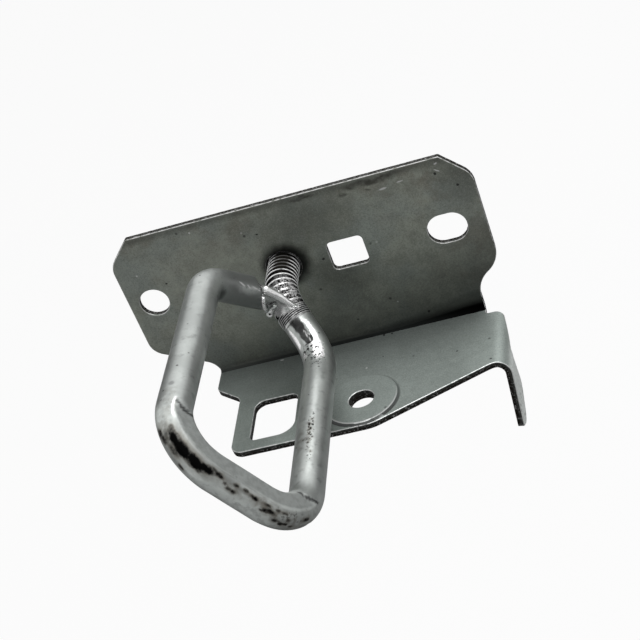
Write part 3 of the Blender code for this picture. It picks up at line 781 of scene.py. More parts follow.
# Wear on the bar, and painted shade and highlights on it: length in front of the plate, turn in degrees, half
# length, half turn, strength
SMEARS = (
    (0.1085, 200, 0.0017, 15, 1.0),
    (0.1066, 202, 0.0025, 19, 1.0),
    (0.1042, 208, 0.0021, 17, 1.0),
    (0.1023, 214, 0.0015, 12, 1.0),
    (0.1076, 176, 0.0018, 10, 0.55),
    (0.1099, 182, 0.0009, 12, 0.55),
    (0.1101, 207, 0.0008, 10, 0.55),
    (0.0890, 204, 0.0005, 8, 0.8),
    (0.0996, 220, 0.0007, 6, 0.8),
    (0.1013, 226, 0.0006, 7, 0.6),
    (0.1001, 222, 0.0008, 7, 0.8),
    (0.0983, 210, 0.0005, 6, 0.6),
    (0.0973, 201, 0.0005, 6, 0.7),
    (0.0961, 201, 0.0006, 7, 0.9),
    (0.0963, 222, 0.0006, 6, 0.7),
    (0.0941, 225, 0.0006, 6, 0.7),
    (0.0926, 221, 0.0005, 5, 0.6),
    (0.0918, 219, 0.0007, 7, 0.9),
    (0.0896, 198, 0.0005, 5, 0.6),
    (0.0891, 222, 0.0008, 5, 0.6),
    (0.0881, 210, 0.0009, 8, 0.75),
    (0.0871, 222, 0.0006, 5, 0.65),
    (0.0858, 222, 0.0006, 5, 0.65),
    (0.0868, 189, 0.0005, 7, 0.75),
    (0.0856, 183, 0.0004, 7, 0.8),
    (0.0848, 186, 0.0004, 6, 0.8),
    (0.0848, 204, 0.0004, 7, 0.65),
    (0.0836, 180, 0.0005, 6, 0.7),
    (0.0811, 207, 0.0007, 8, 0.75),
    (0.1108, 160, 0.0008, 11, 0.75),
    (0.1096, 165, 0.0009, 9, 0.7),
    (0.1050, 158, 0.0006, 7, 0.7),
    (0.1083, 171, 0.0007, 8, 0.55),
    (0.0546, 312, 0.0003, 4, 0.8),
    (0.0563, 320, 0.0004, 4, 0.9),
    (0.0556, 306, 0.0002, 4, 0.7),
    (0.0576, 315, 0.0004, 4, 0.9),
    (0.0581, 321, 0.0003, 5, 0.7),
    (0.0593, 318, 0.0003, 4, 0.9),
    (0.0603, 306, 0.0003, 4, 0.8),
    (0.0611, 314, 0.0003, 3, 0.6),
    (0.0621, 318, 0.0003, 4, 0.8),
    (0.0648, 307, 0.0003, 4, 0.8),
    (0.0640, 315, 0.0002, 3, 0.6),
)
PITTED = (
    (0.0572, 314, 0.0042, 9, 0.9),
    (0.0615, 320, 0.0030, 7, 0.8),
    (0.0660, 312, 0.0030, 7, 0.5),
    (0.0848, 214, 0.0045, 26, 0.28),
    (0.0302, 330, 0.0030, 34, 1.0),
    (0.0285, 350, 0.0022, 24, 1.0),
    (0.0335, 318, 0.0020, 26, 0.7),
)
BROWN = (
    (0.0606, 345, 0.0040, 18, 0.6),
    (0.0590, 322, 0.0036, 14, 0.5),
    (0.1153, 215, 0.0030, 22, 0.5),
    (0.0883, 213, 0.0040, 22, 0.8),
    (0.0830, 195, 0.0040, 32, 0.7),
    (0.0960, 212, 0.0080, 20, 0.4),
    (0.1095, 185, 0.0034, 30, 0.6),
)
BRIGHT = (
    (0.0246, 301, 0.0034, 8, 1.0),
    (0.0262, 303, 0.0034, 9, 1.0),
    (0.0292, 314, 0.0026, 24, 1.0),
    (0.0314, 311, 0.0022, 17, 1.0),
    (0.0235, 20, 0.0038, 11, 0.7),
    (0.0299, 8, 0.0013, 14, 0.6),
)
DARK_FLAT = (
    (0.0190, 338, 0.0016, 19, 1.0),
    (0.0210, 337, 0.0018, 17, 1.0),
    (0.0236, 336, 0.0022, 16, 1.0),
    (0.0252, 331, 0.0014, 16, 1.0),
)
# Painted shade: the thread darkened next to the plate and on the jog
THREAD_SHADES = (
    (0.0008, 312, 0.0022, 34, 1.0),
    (0.0040, 312, 0.0034, 36, 0.7),
    (0.0160, 253, 0.0034, 16, 0.4),
    (0.0142, 302, 0.0012, 14, 0.45),
)
# Painted highlights: lighter patches where highlights fall on the legs, the crossbar's outer face and the
# return bar
PAINTED_HIGHLIGHTS = (
    (0.0985, 170, 0.0060, 27, 1.0),
    (0.0925, 172, 0.0060, 25, 1.0),
    (0.0890, 166, 0.0028, 22, 0.8),
    (0.0860, 241, 0.0070, 6, 0.35),
    (0.1120, 190, 0.0030, 26, 0.6),
    (0.1060, 242, 0.0060, 5, 0.35),
    (0.1690, 313, 0.0030, 14, 0.5),
    (0.0480, 312, 0.0080, 9, 0.55),
    (0.0640, 306, 0.0090, 9, 0.6),
    (0.0690, 0, 0.0070, 10, 0.25),
)
# Painted shade: darker patches that tone down highlights and the shaded sides of the bar
DIMMING_SHADES = (
    (0.1600, 350, 0.0036, 34, 1.0),
    (0.0300, 250, 0.0100, 26, 0.7),
    (0.0220, 255, 0.0060, 26, 0.8),
    (0.1045, 227, 0.0052, 10, 0.9),
    (0.1086, 224, 0.0030, 11, 0.9),
    (0.1118, 217, 0.0036, 9, 0.6),
    (0.1100, 229, 0.0015, 9, 0.8),
    (0.1147, 233, 0.0004, 14, 0.8),
    (0.1132, 226, 0.0005, 9, 0.7),
    (0.0950, 220, 0.0072, 6, 0.75),
    (0.0985, 227, 0.0028, 8, 0.7),
    (0.1080, 165, 0.0045, 14, 0.5),
    (0.0225, 312, 0.0042, 6, 0.5),
    (0.0192, 308, 0.0010, 22, 0.7),
    (0.0838, 150, 0.0034, 24, 0.8),
    (0.0800, 175, 0.0026, 24, 0.5),
    (0.0405, 334, 0.0060, 12, 0.4),
    (0.0375, 292, 0.0030, 16, 0.45),
    (0.0765, 315, 0.0030, 30, 0.45),
)
SHADED = (
    (0.1585, 350, 0.0050, 34, 0.75),
    (0.1548, 322, 0.0040, 14, 0.55),
    (0.1515, 308, 0.0030, 12, 0.3),
)
MESSY = (
    (0.0125, 300, 0.0038, 60, 1.0),
    (0.0162, 300, 0.0020, 50, 0.5),
)

# Lines on the bar: half width, then length and turn of each point
# Painted shade in the creases of the bends
CREASE_SHADES = (
    (0.00027, (0.1150, 244), (0.1140, 257), (0.1134, 272), (0.1128, 300), (0.1126, 325)),
    (0.00024, (0.0801, 309), (0.0796, 285), (0.0786, 261), (0.0776, 240)),
    (0.00010, (0.0182, 240), (0.0184, 300), (0.0186, 360)),
    (0.00010, (0.0186, 0), (0.0187, 40)),
    (0.00010, (0.0188, 250), (0.0190, 300), (0.0191, 330)),
    (0.00009, (0.0193, 340), (0.0194, 360)),
    (0.00009, (0.0194, 0), (0.0195, 30)),
)
# Light lines: painted highlights along the left bend's ridge and by the weld, and bright scratches on the
# return bar and the jog
RIDGES = (
    (0.00016, (0.1158, 240), (0.1141, 231), (0.1124, 227)),
    (0.00030, (0.1738, 325), (0.1751, 359)),
    (0.00030, (0.1751, 0), (0.1766, 30)),
    (0.00012, (0.1662, 292), (0.1676, 303)),
    (0.00010, (0.1684, 296), (0.1693, 309)),
    (0.00010, (0.1703, 301), (0.1722, 308)),
    (0.00010, (0.0225, 331), (0.0243, 318)),
    (0.00008, (0.0229, 332), (0.0262, 325)),
)

# Each kind of wear, painted shade and painted highlight, and how ragged its edges are
BAR_WEAR_AND_PAINTED_LIGHT = {
    "smear": (SMEARS, 0.6),
    "shaded": (SHADED, 0.2),
    "pitted": (PITTED, 1),
    "brown": (BROWN, 1),
    "bright": (BRIGHT, 1),
    "dark_flat": (DARK_FLAT, 0.3),
    "thread_shade": (THREAD_SHADES, 0.5),
    "messy": (MESSY, 0.5),
    "painted_highlight": (PAINTED_HIGHLIGHTS, 0.5),
    "dimming_shade": (DIMMING_SHADES, 0.3),
}

# Where marks fade out, in half sizes, and how close the waves of their ragged edges are
BLOT_SPREAD = 1.45
HAZE_SPREAD = 2.3
STROKE_SPREAD = 1.6
BROAD_RAGGED = 900
FINE_RAGGED = 2100

# Lengths in front of the plate between which a mark of the whole bar comes up or fades
PRESSED_START = (0.0776, 0.0796)
PRESSED_END = (0.1156, 0.1140)
# Painted shade comes up along the return bar between these
RETURN_SHADE_RUN = (0.1588, 0.1650)
UPPER_END = (0.0118, 0.0090)

# Angles from the crossbar flat's middle, in radians, between which its facet fades
FACET_EDGE = (0.72, 0.56)


def waver(lengths, turns, scale):
    """Smooth random value from minus 1 to 1 at each point of the bar."""
    places = bar_places(lengths, turns, BAR_RADIUS) * scale
    return np.array([noise.noise(Vector(place)) for place in places])


def blotch(lengths, turns, blots, ragged, size=BLOT_SPREAD):
    """Strength at each point of soft, ragged marks on the bar."""
    ahead = lengths - SHANK_BACK
    total = np.zeros(len(lengths))
    for at, turn, half_length, half_turn, strength in blots:
        gap = np.degrees(turn_gap(turns, math.radians(turn)))
        far = np.hypot((ahead - at) / half_length, gap / half_turn)
        total = np.maximum(total, strength * (size - far + ragged).clip(0, 1))
    return total


def gap_to_line(places, line):
    """Distance of each place from a line through points."""
    gap = np.full(len(places), np.inf)
    for start, end in zip(line, line[1:]):
        along = end - start
        share = ((places - start) @ along / (along @ along)).clip(0, 1)
        gap = np.minimum(gap, row_lengths(places - start - share[:, None] * along))
    return gap


def strokes(lengths, turns, lines, ragged):
    """Strength at each point of thin lines drawn on the bar."""
    places = np.column_stack([lengths - SHANK_BACK, BAR_RADIUS * turns])
    total = np.zeros(len(lengths))
    for half_width, *points in lines:
        line = np.array([(at, BAR_RADIUS * math.radians(turn)) for at, turn in points])
        gap = gap_to_line(places, line) / half_width
        total = np.maximum(total, (STROKE_SPREAD - gap + ragged).clip(0, 1))
    return total


def bar_marks(lengths, turns):
    """The bar's worn, pitted, brown, bright and dark places, and its painted shade and highlights, as values
    at its points.
    """
    ahead = lengths - SHANK_BACK
    ragged = 0.55 * waver(lengths, turns, BROAD_RAGGED) + 0.35 * waver(lengths, turns, FINE_RAGGED)
    # Painted shade along the return bar
    on_return = 0.9 * smooth(*RETURN_SHADE_RUN, ahead)
    pressed = smooth(*PRESSED_START, ahead) * smooth(*PRESSED_END, ahead)
    marks = {name: blotch(lengths, turns, blots, share * ragged) for name, (blots, share) in BAR_WEAR_AND_PAINTED_LIGHT.items()}
    marks["haze"] = blotch(lengths, turns, SMEARS, 0.5 * ragged, HAZE_SPREAD)
    marks["shaded"] = np.maximum(marks["shaded"], 0.25 * on_return)
    marks["dimming_shade"] = np.maximum(marks["dimming_shade"], on_return)
    marks["upper"] = smooth(*UPPER_END, ahead)
    marks["pressed"] = pressed
    marks["facet"] = pressed * smooth(*FACET_EDGE, np.abs(turn_gap(turns, CROSSBAR_FLAT[4])))
    marks["crease"] = strokes(lengths, turns, CREASE_SHADES, ragged)
    marks["ridge"] = strokes(lengths, turns, RIDGES, ragged)
    return marks


def ball(bm, place, radius):
    bmesh.ops.create_icosphere(bm, subdivisions=2, radius=radius, matrix=Matrix.Translation(place))


def chain(bm, places, radii, steps=10):
    """Overlapping balls along a line of places."""
    places = np.array(places, float)
    for i in range(len(places) - 1):
        for share in np.arange(steps) / steps:
            at = places[i] * (1 - share) + places[i + 1] * share
            ball(bm, at, radii[i] * (1 - share) + radii[i + 1] * share)


def skinned(name, bm, voxel, smoothing):
    """One closed skin over everything in the bmesh, smoothed as molten metal is."""
    mesh = taken(name + "_raw", bm)
    raw = linked(name + "_raw", mesh)
    remesh = raw.modifiers.new("skin", "REMESH")
    remesh.mode = "VOXEL"
    remesh.voxel_size = voxel
    soften = raw.modifiers.new("soften", "SMOOTH")
    soften.factor = 0.5
    soften.iterations = smoothing
    graph = bpy.context.evaluated_depsgraph_get()
    made = bpy.data.meshes.new_from_object(raw.evaluated_get(graph))
    made.name = name
    bpy.data.objects.remove(raw, do_unlink=True)
    bpy.data.meshes.remove(mesh)
    return made


def mesh_places(mesh):
    places = np.empty(len(mesh.vertices) * 3)
    mesh.vertices.foreach_get("co", places)
    return places.reshape(-1, 3)


def melted(name, bm, voxel, smoothing):
    """A skin over shapes in the striker's frame, moved to world places."""
    made = skinned(name, bm, voxel, smoothing)
    made.vertices.foreach_set("co", to_world(mesh_places(made)).ravel())
    made.update()
    return made


# Fillet of the weld in the loop's inner corner, by level under the loop's plane: where it meets the return
# bar and the shank, as lengths in front of the plate
FILLET_LEVELS = (
    (-0.0034, 0.1730, 0.0172),
    (-0.0026, 0.1732, 0.0172),
    (-0.0018, 0.1735, 0.0172),
    (-0.0010, 0.1740, 0.0172),
    (-0.0002, 0.1748, 0.0170),
    (0.0006, 0.1758, 0.0167),
    (0.0014, 0.1770, 0.0163),
    (0.0022, 0.1778, 0.0160),
)
FILLET_SINK = 0.0006
FILLET_ON_RETURN = BAR_RADIUS - FILLET_SINK
FILLET_ON_SHANK = THREAD_RADIUS - 0.3 * THREAD_DEPTH
FILLET_STEPS = 14
FILLET_WAY = (0.30, -0.95, 0)
FILLET_THICK = (0.0008, 0.0022)
FILLET_HOLLOW = 0.8
CHANNEL_LEVELS = (-0.0034, -0.0012)
STEEPEST_SINE = 0.97
SMALL_STEP = 1e-5

# Proud ridge along the weld's top, in the striker's frame, its radii, and the lip below it on the return bar
RIDGE = (
    (-0.00545, 0.01892, -0.0033), (-0.00363, 0.01864, -0.0034), (-0.00173, 0.01817, -0.0034),
    (0.0, 0.01795, -0.0033), (0.00175, 0.01773, -0.0032), (0.0030, 0.0170, -0.0033),
)
RIDGE_RADII = (0.00106, 0.00104, 0.00094, 0.00072, 0.00052, 0.00032)
LIP_PROUD = 0.0003
LIP_RADIUS = 0.00045

# Distances from the middle of the ridge and of the lip between which their near-white painted highlight fades
NEAR_RIDGE = (0.0012, 0.0008)
NEAR_LIP = (0.0008, 0.0005)

# Neck between the bar's end and the shank: lengths in front of the plate, radii, shift inward and under
NECK_RETURN = (0.1730, 0.1752, 0.1772, 0.1792)
NECK_RADII = (0.0031, 0.0027, 0.0024, 0.0028)
NECK_SHIFT = (0.0003, 0.0006)

# Drip from the weld, in the striker's frame, its burst mouth, a bead thrown beside it, and pores with radii
DRIP = ((-0.0013, 0.0186, -0.0009), (-0.0012, 0.0190, 0.0002), (-0.0010, 0.0193, 0.0009))
DRIP_RADII = (0.00075, 0.0007, 0.0006)
DRIP_MOUTH = (-0.0011, 0.0195, 0.0010)
DRIP_AXIS = (-0.31, 0.82, -0.48)
DRIP_MOUTH_RADIUS = 0.00048
DRIP_MOUTH_WALL = 0.0003
DRIP_MOUTH_BALLS = 28
BEAD = (-0.0060, 0.0188, -0.0030)
BEAD_RADII = (0.0006, 0.0005, 0.0006)
PORES = (
    (DRIP_MOUTH, 0.00034),
    ((-0.0017, 0.0189, -0.0006), 0.00016),
    ((-0.0012, 0.0193, -0.0006), 0.00016),
    ((-0.0013, 0.0194, -0.0003), 0.00018),
)
PORE_DEPTH = 0.0012

# Size of the voxels that skin the weld, its drip and the nut's welds
WELD_VOXEL = 0.00013
DRIP_VOXEL = 0.00009
NUT_WELD_VOXEL = 0.00012


def fillet_arcs():
    """Arcs across the loop's inner corner, one per level: straight at the top, hollow further down."""
    arcs = []
    share = np.linspace(0, 1, FILLET_STEPS)[:, None]
    for level, return_at, shank_at in FILLET_LEVELS:
        ends = []
        for ahead, radius in ((return_at, FILLET_ON_RETURN), (shank_at, FILLET_ON_SHANK)):
            lengths = np.array([ahead, ahead + SMALL_STEP]) + SHANK_BACK
            turns = np.full(2, math.asin(max(-STEEPEST_SINE, min(STEEPEST_SINE, level / radius))))
            start, step = bar_places(lengths, turns, radius)
            ends.append((start, (step - start) / np.linalg.norm(step - start)))
        (left, left_way), (right, right_way) = ends
        sides = np.column_stack([left_way[:2], right_way[:2]])
        corner = left + left_way * np.linalg.solve(sides, (right - left)[:2])[0]
        hollow = FILLET_HOLLOW * smooth(*CHANNEL_LEVELS, level)
        control = (left + right) / 2 * (1 - hollow) + corner * hollow
        arcs.append((1 - share) ** 2 * left + 2 * share * (1 - share) * control + share ** 2 * right)
    return np.array(arcs)


def fillet_solid(bm, arcs):
    """Closed body with the fillet's face on one side and a sunk copy of it on the other."""
    levels, steps = arcs.shape[:2]
    thin, thick = FILLET_THICK
    deep = smooth(*CHANNEL_LEVELS, [row[0] for row in FILLET_LEVELS])
    sink = (thin + (thick - thin) * deep)[:, None, None] * np.array(FILLET_WAY)
    top, low = ([[bm.verts.new(point) for point in arc] for arc in side] for side in (arcs, arcs + sink))
    for k in range(levels - 1):
        for i in range(steps - 1):
            bm.faces.new((top[k][i], top[k][i + 1], top[k + 1][i + 1], top[k + 1][i]))
            bm.faces.new((low[k][i], low[k + 1][i], low[k + 1][i + 1], low[k][i + 1]))
    rim = [(k, 0) for k in range(levels)] + [(levels - 1, i) for i in range(1, steps)]
    rim += [(k, steps - 1) for k in range(levels - 2, -1, -1)] + [(0, i) for i in range(steps - 2, 0, -1)]
    for (k, i), (m, j) in zip(rim, rim[1:] + rim[:1]):
        bm.faces.new((top[k][i], top[m][j], low[m][j], low[k][i]))
    bmesh.ops.recalc_face_normals(bm, faces=bm.faces)


def pore_share(mesh):
    """1 at points of the mesh that lie in a pore, 0 outside."""
    axis = np.array(DRIP_AXIS) @ STRIKER_WAYS
    axis /= np.linalg.norm(axis)
    total = np.zeros(len(mesh.vertices))
    for centre, radius in PORES:
        away = mesh_places(mesh) - to_world(centre)
        along = away @ axis
        aside = row_lengths(away - along[:, None] * axis)
        total = np.maximum(total, smooth(radius, 0.6 * radius, aside) * (np.abs(along) < PORE_DEPTH))
    return total


def weld_mesh():
    """The weld that closes the loop: a neck, a hollow fillet, a proud ridge on top and a lip on the bar."""
    bm = bmesh.new()
    arcs = fillet_arcs()
    fillet_solid(bm, arcs)
    end_way = PATH_TANGENTS[-1]
    inward = np.array((-end_way[1], end_way[0]))
    inside_shift, under_shift = NECK_SHIFT
    ahead = np.array(NECK_RETURN) + SHANK_BACK
    centres = on_path(PATH, ahead) + np.outer((ahead - BAR_LENGTH).clip(0), end_way)
    neck = np.column_stack([centres + inward * inside_shift, np.full(len(ahead), under_shift)])
    chain(bm, neck, NECK_RADII)
    chain(bm, RIDGE, RIDGE_RADII)
    lip = arcs[2:, 0] + np.array((*inward, 0)) * (FILLET_SINK + LIP_PROUD)
    chain(bm, lip, [LIP_RADIUS] * len(lip), 6)
    made = melted("weld_bead", bm, WELD_VOXEL, 3)
    places = mesh_places(made)
    on_ridge = smooth(*NEAR_RIDGE, gap_to_line(places, to_world(RIDGE)))
    on_lip = smooth(*NEAR_LIP, gap_to_line(places, to_world(lip)))
    add_attribute(made, "proud", np.maximum(on_ridge, on_lip))
    return made


def spatter_mesh():
    """A drip with a burst mouth that ran from the weld, and a bead thrown beside it."""
    bm = bmesh.new()
    chain(bm, DRIP, DRIP_RADII)
    axis = Vector(DRIP_AXIS).normalized()
    arm = axis.orthogonal().normalized() * DRIP_MOUTH_RADIUS
    for k in range(DRIP_MOUTH_BALLS):
        turn = Matrix.Rotation(math.tau * k / DRIP_MOUTH_BALLS, 3, axis)
        ball(bm, Vector(DRIP_MOUTH) + turn @ arm, DRIP_MOUTH_WALL)
    stretch = Matrix.Translation(BEAD) @ Matrix.Diagonal((*BEAD_RADII, 1))
    bmesh.ops.create_icosphere(bm, subdivisions=4, radius=1, matrix=stretch)
    made = melted("weld_spatter", bm, DRIP_VOXEL, 2)
    add_attribute(made, "pore", pore_share(made))
    return made


# Fine shape of the fasteners: nut's faces, countersink and roundings, washer's roundings and slanted slit
NUT_SIDES = 120
NUT_FACE_SHARE = 0.97
NUT_SINK = 0.0004
NUT_ROUND = 0.00008
NUT_CORNER = 0.00012
WASHER_STEPS = 110
WASHER_ROUND = 0.00028
WASHER_SLANT = 0.05

# Welds of the nut: balls to each side of a bead's middle, their spacing, place and radii
NUT_WELD_BALLS = 5
NUT_WELD_STEP = 0.055
NUT_WELD_REACH = 0.0073
NUT_WELD_RISE = 0.0004
NUT_WELD_RADIUS = 0.0011
NUT_WELD_TAPER = 0.00045
NUT_WELD_SEAT = 0.00002


def ring_places(radius, level, turns):
    """Points round the shank's axis, at a level behind the plate's back."""
    return np.column_stack([radius * np.cos(turns), level + 0 * turns, radius * np.sin(turns)]).tolist()


def nut_mesh(name, flats, height, seat):
    """Hexagon nut with a cone chamfer on both faces and a countersunk bore."""
    turns = np.linspace(0, math.tau, NUT_SIDES, endpoint=False)
    gap = (turns + math.pi / 6) % (math.pi / 3) - math.pi / 6
    soft = np.minimum(flats / 2 / np.cos(gap), flats / math.sqrt(3) - NUT_CORNER)
    top = height / 2
    face = flats / 2 * NUT_FACE_SHARE
    slope = math.tan(NUT_CHAMFER)
    edge = top - (soft - face) * slope
    half = [
        (NUT_BORE, 0),
        (NUT_BORE, top - NUT_SINK),
        (NUT_BORE + NUT_SINK, top),
        (face - NUT_ROUND, top),
        (face + NUT_ROUND, top - NUT_ROUND * slope),
        (soft - NUT_ROUND, edge + NUT_ROUND * slope),
        (soft, edge - NUT_ROUND),
        (soft, height / 4),
    ]
    rings = half + [(radius, -level) for radius, level in reversed(half)]
    verts, faces = [], []
    for k, (radius, level) in enumerate(rings):
        verts += ring_places(radius, seat + top + level, turns)
        faces += band(k * NUT_SIDES, (k + 1) % len(rings) * NUT_SIDES, NUT_SIDES)
    return closed(new_mesh(name, verts, faces))


def washer_mesh():
    """Spring washer squeezed nearly flat, with rounded edges and a slanted slit at the top."""
    slit = math.asin(WASHER_SLIT / 2 / WASHER_BORE)
    half_width = (WASHER_RADIUS - WASHER_BORE) / 2
    half_height = WASHER_THICKNESS / 2
    section = []
    for x, y in ((1, 1), (-1, 1), (-1, -1), (1, -1)):
        for k in range(4):
            turn = math.atan2(y, x) + math.radians(-45 + 30 * k)
            section.append((x * (half_width - WASHER_ROUND) + WASHER_ROUND * math.cos(turn),
                            y * (half_height - WASHER_ROUND) + WASHER_ROUND * math.sin(turn)))
    across, level = np.array(section).T
    radius = (WASHER_RADIUS + WASHER_BORE) / 2 + across
    start = math.pi / 2 + slit + WASHER_SLANT * level / half_height
    count = len(section)
    verts, faces = [], []
    for i in range(WASHER_STEPS + 1):
        turns = start + (math.tau - 2 * slit) * i / WASHER_STEPS
        verts += ring_places(radius, WASHER_SEAT + half_height + level, turns)
    for i in range(WASHER_STEPS):
        faces += band(i * count, (i + 1) * count, count)
    faces += [tuple(end + k for k in range(count)) for end in (0, WASHER_STEPS * count)]
    return closed(new_mesh("spring_washer", verts, faces))


def nut_weld_mesh():
    """Weld beads that hold the nut to the plate's back, one at every other corner."""
    bm = bmesh.new()
    for k in range(3):
        for step in range(-NUT_WELD_BALLS, NUT_WELD_BALLS + 1):
            turn = math.radians(30 + 120 * k) + step * NUT_WELD_STEP
            place = (NUT_WELD_REACH * math.cos(turn), NUT_WELD_RISE, NUT_WELD_REACH * math.sin(turn))
            ball(bm, place, NUT_WELD_RADIUS - NUT_WELD_TAPER * (step / NUT_WELD_BALLS) ** 2)
    mesh = skinned("nut_welds", bm, NUT_WELD_VOXEL, 3)
    bm = bmesh.new()
    bm.from_mesh(mesh)
    bmesh.ops.bisect_plane(bm, geom=[*bm.verts, *bm.edges, *bm.faces], plane_co=(0, NUT_WELD_SEAT, 0),
                           plane_no=(0, -1, 0), clear_outer=True)
    bm.to_mesh(mesh)
    bm.free()
    return closed(mesh)


class Value:
    """A shader node's output that adds and multiplies like a number. The sign | takes the greater of two."""

    # Node tree of the material or world that is being made
    tree = None

    def __init__(self, socket):
        self.socket = socket

    def __add__(self, other):
        return maths("ADD", self, other)

    def __sub__(self, other):
        return maths("SUBTRACT", self, other)

    def __rsub__(self, other):
        return maths("SUBTRACT", other, self)

    def __mul__(self, other):
        return maths("MULTIPLY", self, other)

    def __or__(self, other):
        return maths("MAXIMUM", self, other)


def set_inputs(made, inputs):
    """Set a node's inputs to plain values, or link them to other nodes' values."""
    for key, given in inputs.items():
        if isinstance(given, Value):
            Value.tree.links.new(given.socket, made.inputs[key])
        else:
            made.inputs[key].default_value = given


def node(kind, inputs=None, **settings):
    """A shader node with its settings and inputs."""
    made = Value.tree.nodes.new("ShaderNode" + kind)
    for name, setting in settings.items():
        setattr(made, name, setting)
    set_inputs(made, inputs or {})
    return made


def value(kind, output, inputs=None, **settings):
    """One output of a new shader node."""
    return Value(node(kind, inputs, **settings).outputs[output])


def new_material(name):
    material = bpy.data.materials.new(name)
    material.use_nodes = True
    Value.tree = material.node_tree
    return material, Value.tree.nodes["Principled BSDF"]


def maths(operation, first, second):
    return value("Math", 0, {0: first, 1: second}, operation=operation)


def vector(operation, first, second=(0, 0, 0), output="Vector"):
    return value("VectorMath", output, {0: first, 1: second}, operation=operation)


def parts(places):
    """The x, y and z of places."""
    return [Value(socket) for socket in node("SeparateXYZ", {"Vector": places}).outputs]


def scaled(places, scale):
    return value("Mapping", "Vector", {"Vector": places, "Scale": scale})


def object_places(scale=(1, 1, 1)):
    return scaled(value("TexCoord", "Object"), scale)


def attribute(name, output="Fac"):
    return value("Attribute", output, attribute_name=name)


def noise_value(places, scale, detail=4, roughness=0.55, distortion=0.0):
    inputs = {"Vector": places, "Scale": scale, "Detail": detail, "Roughness": roughness}
    return value("TexNoise", "Fac", {**inputs, "Distortion": distortion})


def ramp(given, low, high):
    """Value stretched so that low becomes 0 and high becomes 1, with smooth ends."""
    inputs = {"Value": given, "From Min": low, "From Max": high}
    return value("MapRange", "Result", inputs, interpolation_type="SMOOTHSTEP")


def spread(given, low, high):
    """Value stretched so that 0 becomes low and 1 becomes high."""
    return value("MapRange", "Result", {"Value": given, "To Min": low, "To Max": high})


def mixed(share, first, second):
    return value("Mix", 2, {0: share, 6: first, 7: second}, data_type="RGBA")


def painted(colour, *layers):
    """A colour with layers over it, each a share and a colour."""
    for share, layer in layers:
        colour = mixed(share, colour, layer)
    return colour


def bumped(relief, strength, distance):
    return value("Bump", "Normal", {"Height": relief, "Strength": strength, "Distance": distance})


def grey(light, tint=(1, 1, 1)):
    return (*(light * share for share in tint), 1)


def olive(light):
    return grey(light, (0.985, 1.045, 0.905))


def cool(light):
    return grey(light, (0.93, 1.05, 0.995))


def green(light):
    return grey(light, (0.96, 1.01, 0.98))


def brownish(light):
    return grey(light, (1.10, 1.0, 0.82))


def specks(places, scale, size, share):
    """Small round marks on a share of the cells of a grid of points."""
    cells = node("TexVoronoi", {"Vector": places, "Scale": scale, "Randomness": 1.0})
    pick = value("SeparateColor", 0, {"Color": Value(cells.outputs["Color"])})
    return ramp(Value(cells.outputs["Distance"]), size, size * 0.4) * ramp(pick, share + 0.02, share)


def warped(places, scale, amount):
    """Places pushed about by a smooth noise, so that marks drawn on them get uneven edges."""
    push = value("TexNoise", "Color", {"Vector": places, "Scale": scale, "Detail": 3.0})
    centred = vector("SUBTRACT", push, (0.5, 0.5, 0.5))
    return vector("ADD", places, vector("MULTIPLY", centred, (amount, amount, 0)))


def oval(places, x, y, half_length, half_width, turn, soft):
    """Mask of a soft-edged oval mark on the flat blank."""
    inputs = {"Vector": places, "Location": (x, y, 0), "Rotation": (0, 0, math.radians(turn)),
              "Scale": (half_length, half_width, 1)}
    local = value("Mapping", "Vector", inputs, vector_type="TEXTURE")
    return ramp(vector("LENGTH", local, output="Value"), 1, 1 - soft)


def ovals(places, marks, soft=0.5):
    """Mask of several oval marks."""
    total = oval(places, *marks[0], soft)
    for mark in marks[1:]:
        total = total | oval(places, *mark, soft)
    return total


# Marks on the sheet, on its flat blank: centre, half length and half width, turn in degrees
TOP_STAINS = (
    (0.0225, 0.0160, 0.0050, 0.0011, 0),
    (0.0300, 0.0163, 0.0052, 0.0009, 2),
    (0.0190, 0.0143, 0.0014, 0.0008, 0),
    (0.0250, 0.0139, 0.0009, 0.0005, 0),
    (0.0100, 0.0163, 0.0045, 0.0007, 0),
    (0.0260, 0.0157, 0.0090, 0.0010, 0),
)
# Darker patches on the plate's front
DARKER_PATCHES = (
    (0.0090, 0.0110, 0.0180, 0.0125, 0),
    (0.0455, 0.0125, 0.0095, 0.0135, 0),
    (0.0125, -0.0050, 0.0120, 0.0120, 0),
)
PALE_PATCHES = (
    (-0.0170, 0.0035, 0.0160, 0.0120, 0),
    (-0.0120, -0.0130, 0.0120, 0.0110, 0),
)
# Painted shadow round the shank's foot
SHANK_SHADOW = (
    (0.0008, 0.0004, 0.0074, 0.0072, 0),
)
DARK_DOTS = (
    (0.0170, flange_row(0.0012), 0.0004, 0.0006, 0),
    (0.0190, flange_row(0.0014), 0.0003, 0.0004, 0),
    (0.0348, flange_row(0.0146), 0.0003, 0.0003, 0),
    (0.0425, flange_row(0.0204), 0.0004, 0.0003, 30),
    (0.0170, flange_row(0.0100), 0.0002, 0.0002, 0),
    (0.0096, -0.0005, 0.0005, 0.0004, 20),
    (0.0405, 0.0136, 0.0004, 0.0005, 0),
    (0.0446, 0.0095, 0.0004, 0.0004, 0),
    (0.0290, -0.0215, 0.0004, 0.0004, 0),
    (-0.0030, 0.0102, 0.0004, 0.0003, 0),
    (-0.0285, 0.0035, 0.0004, 0.0003, 0),
)
PALE_SCRATCHES = (
    (0.0411, 0.0143, 0.0009, 0.0002, -35),
    (0.0413, 0.0160, 0.0005, 0.0003, 20),
    (0.0283, 0.0133, 0.0012, 0.0003, 5),
    (0.0325, 0.0140, 0.0010, 0.0002, 8),
    (-0.0180, 0.0150, 0.0003, 0.0003, 0),
    (-0.0345, 0.0075, 0.0003, 0.0003, 0),
    (-0.0090, flange_row(0.0016), 0.0006, 0.0002, 0),
)


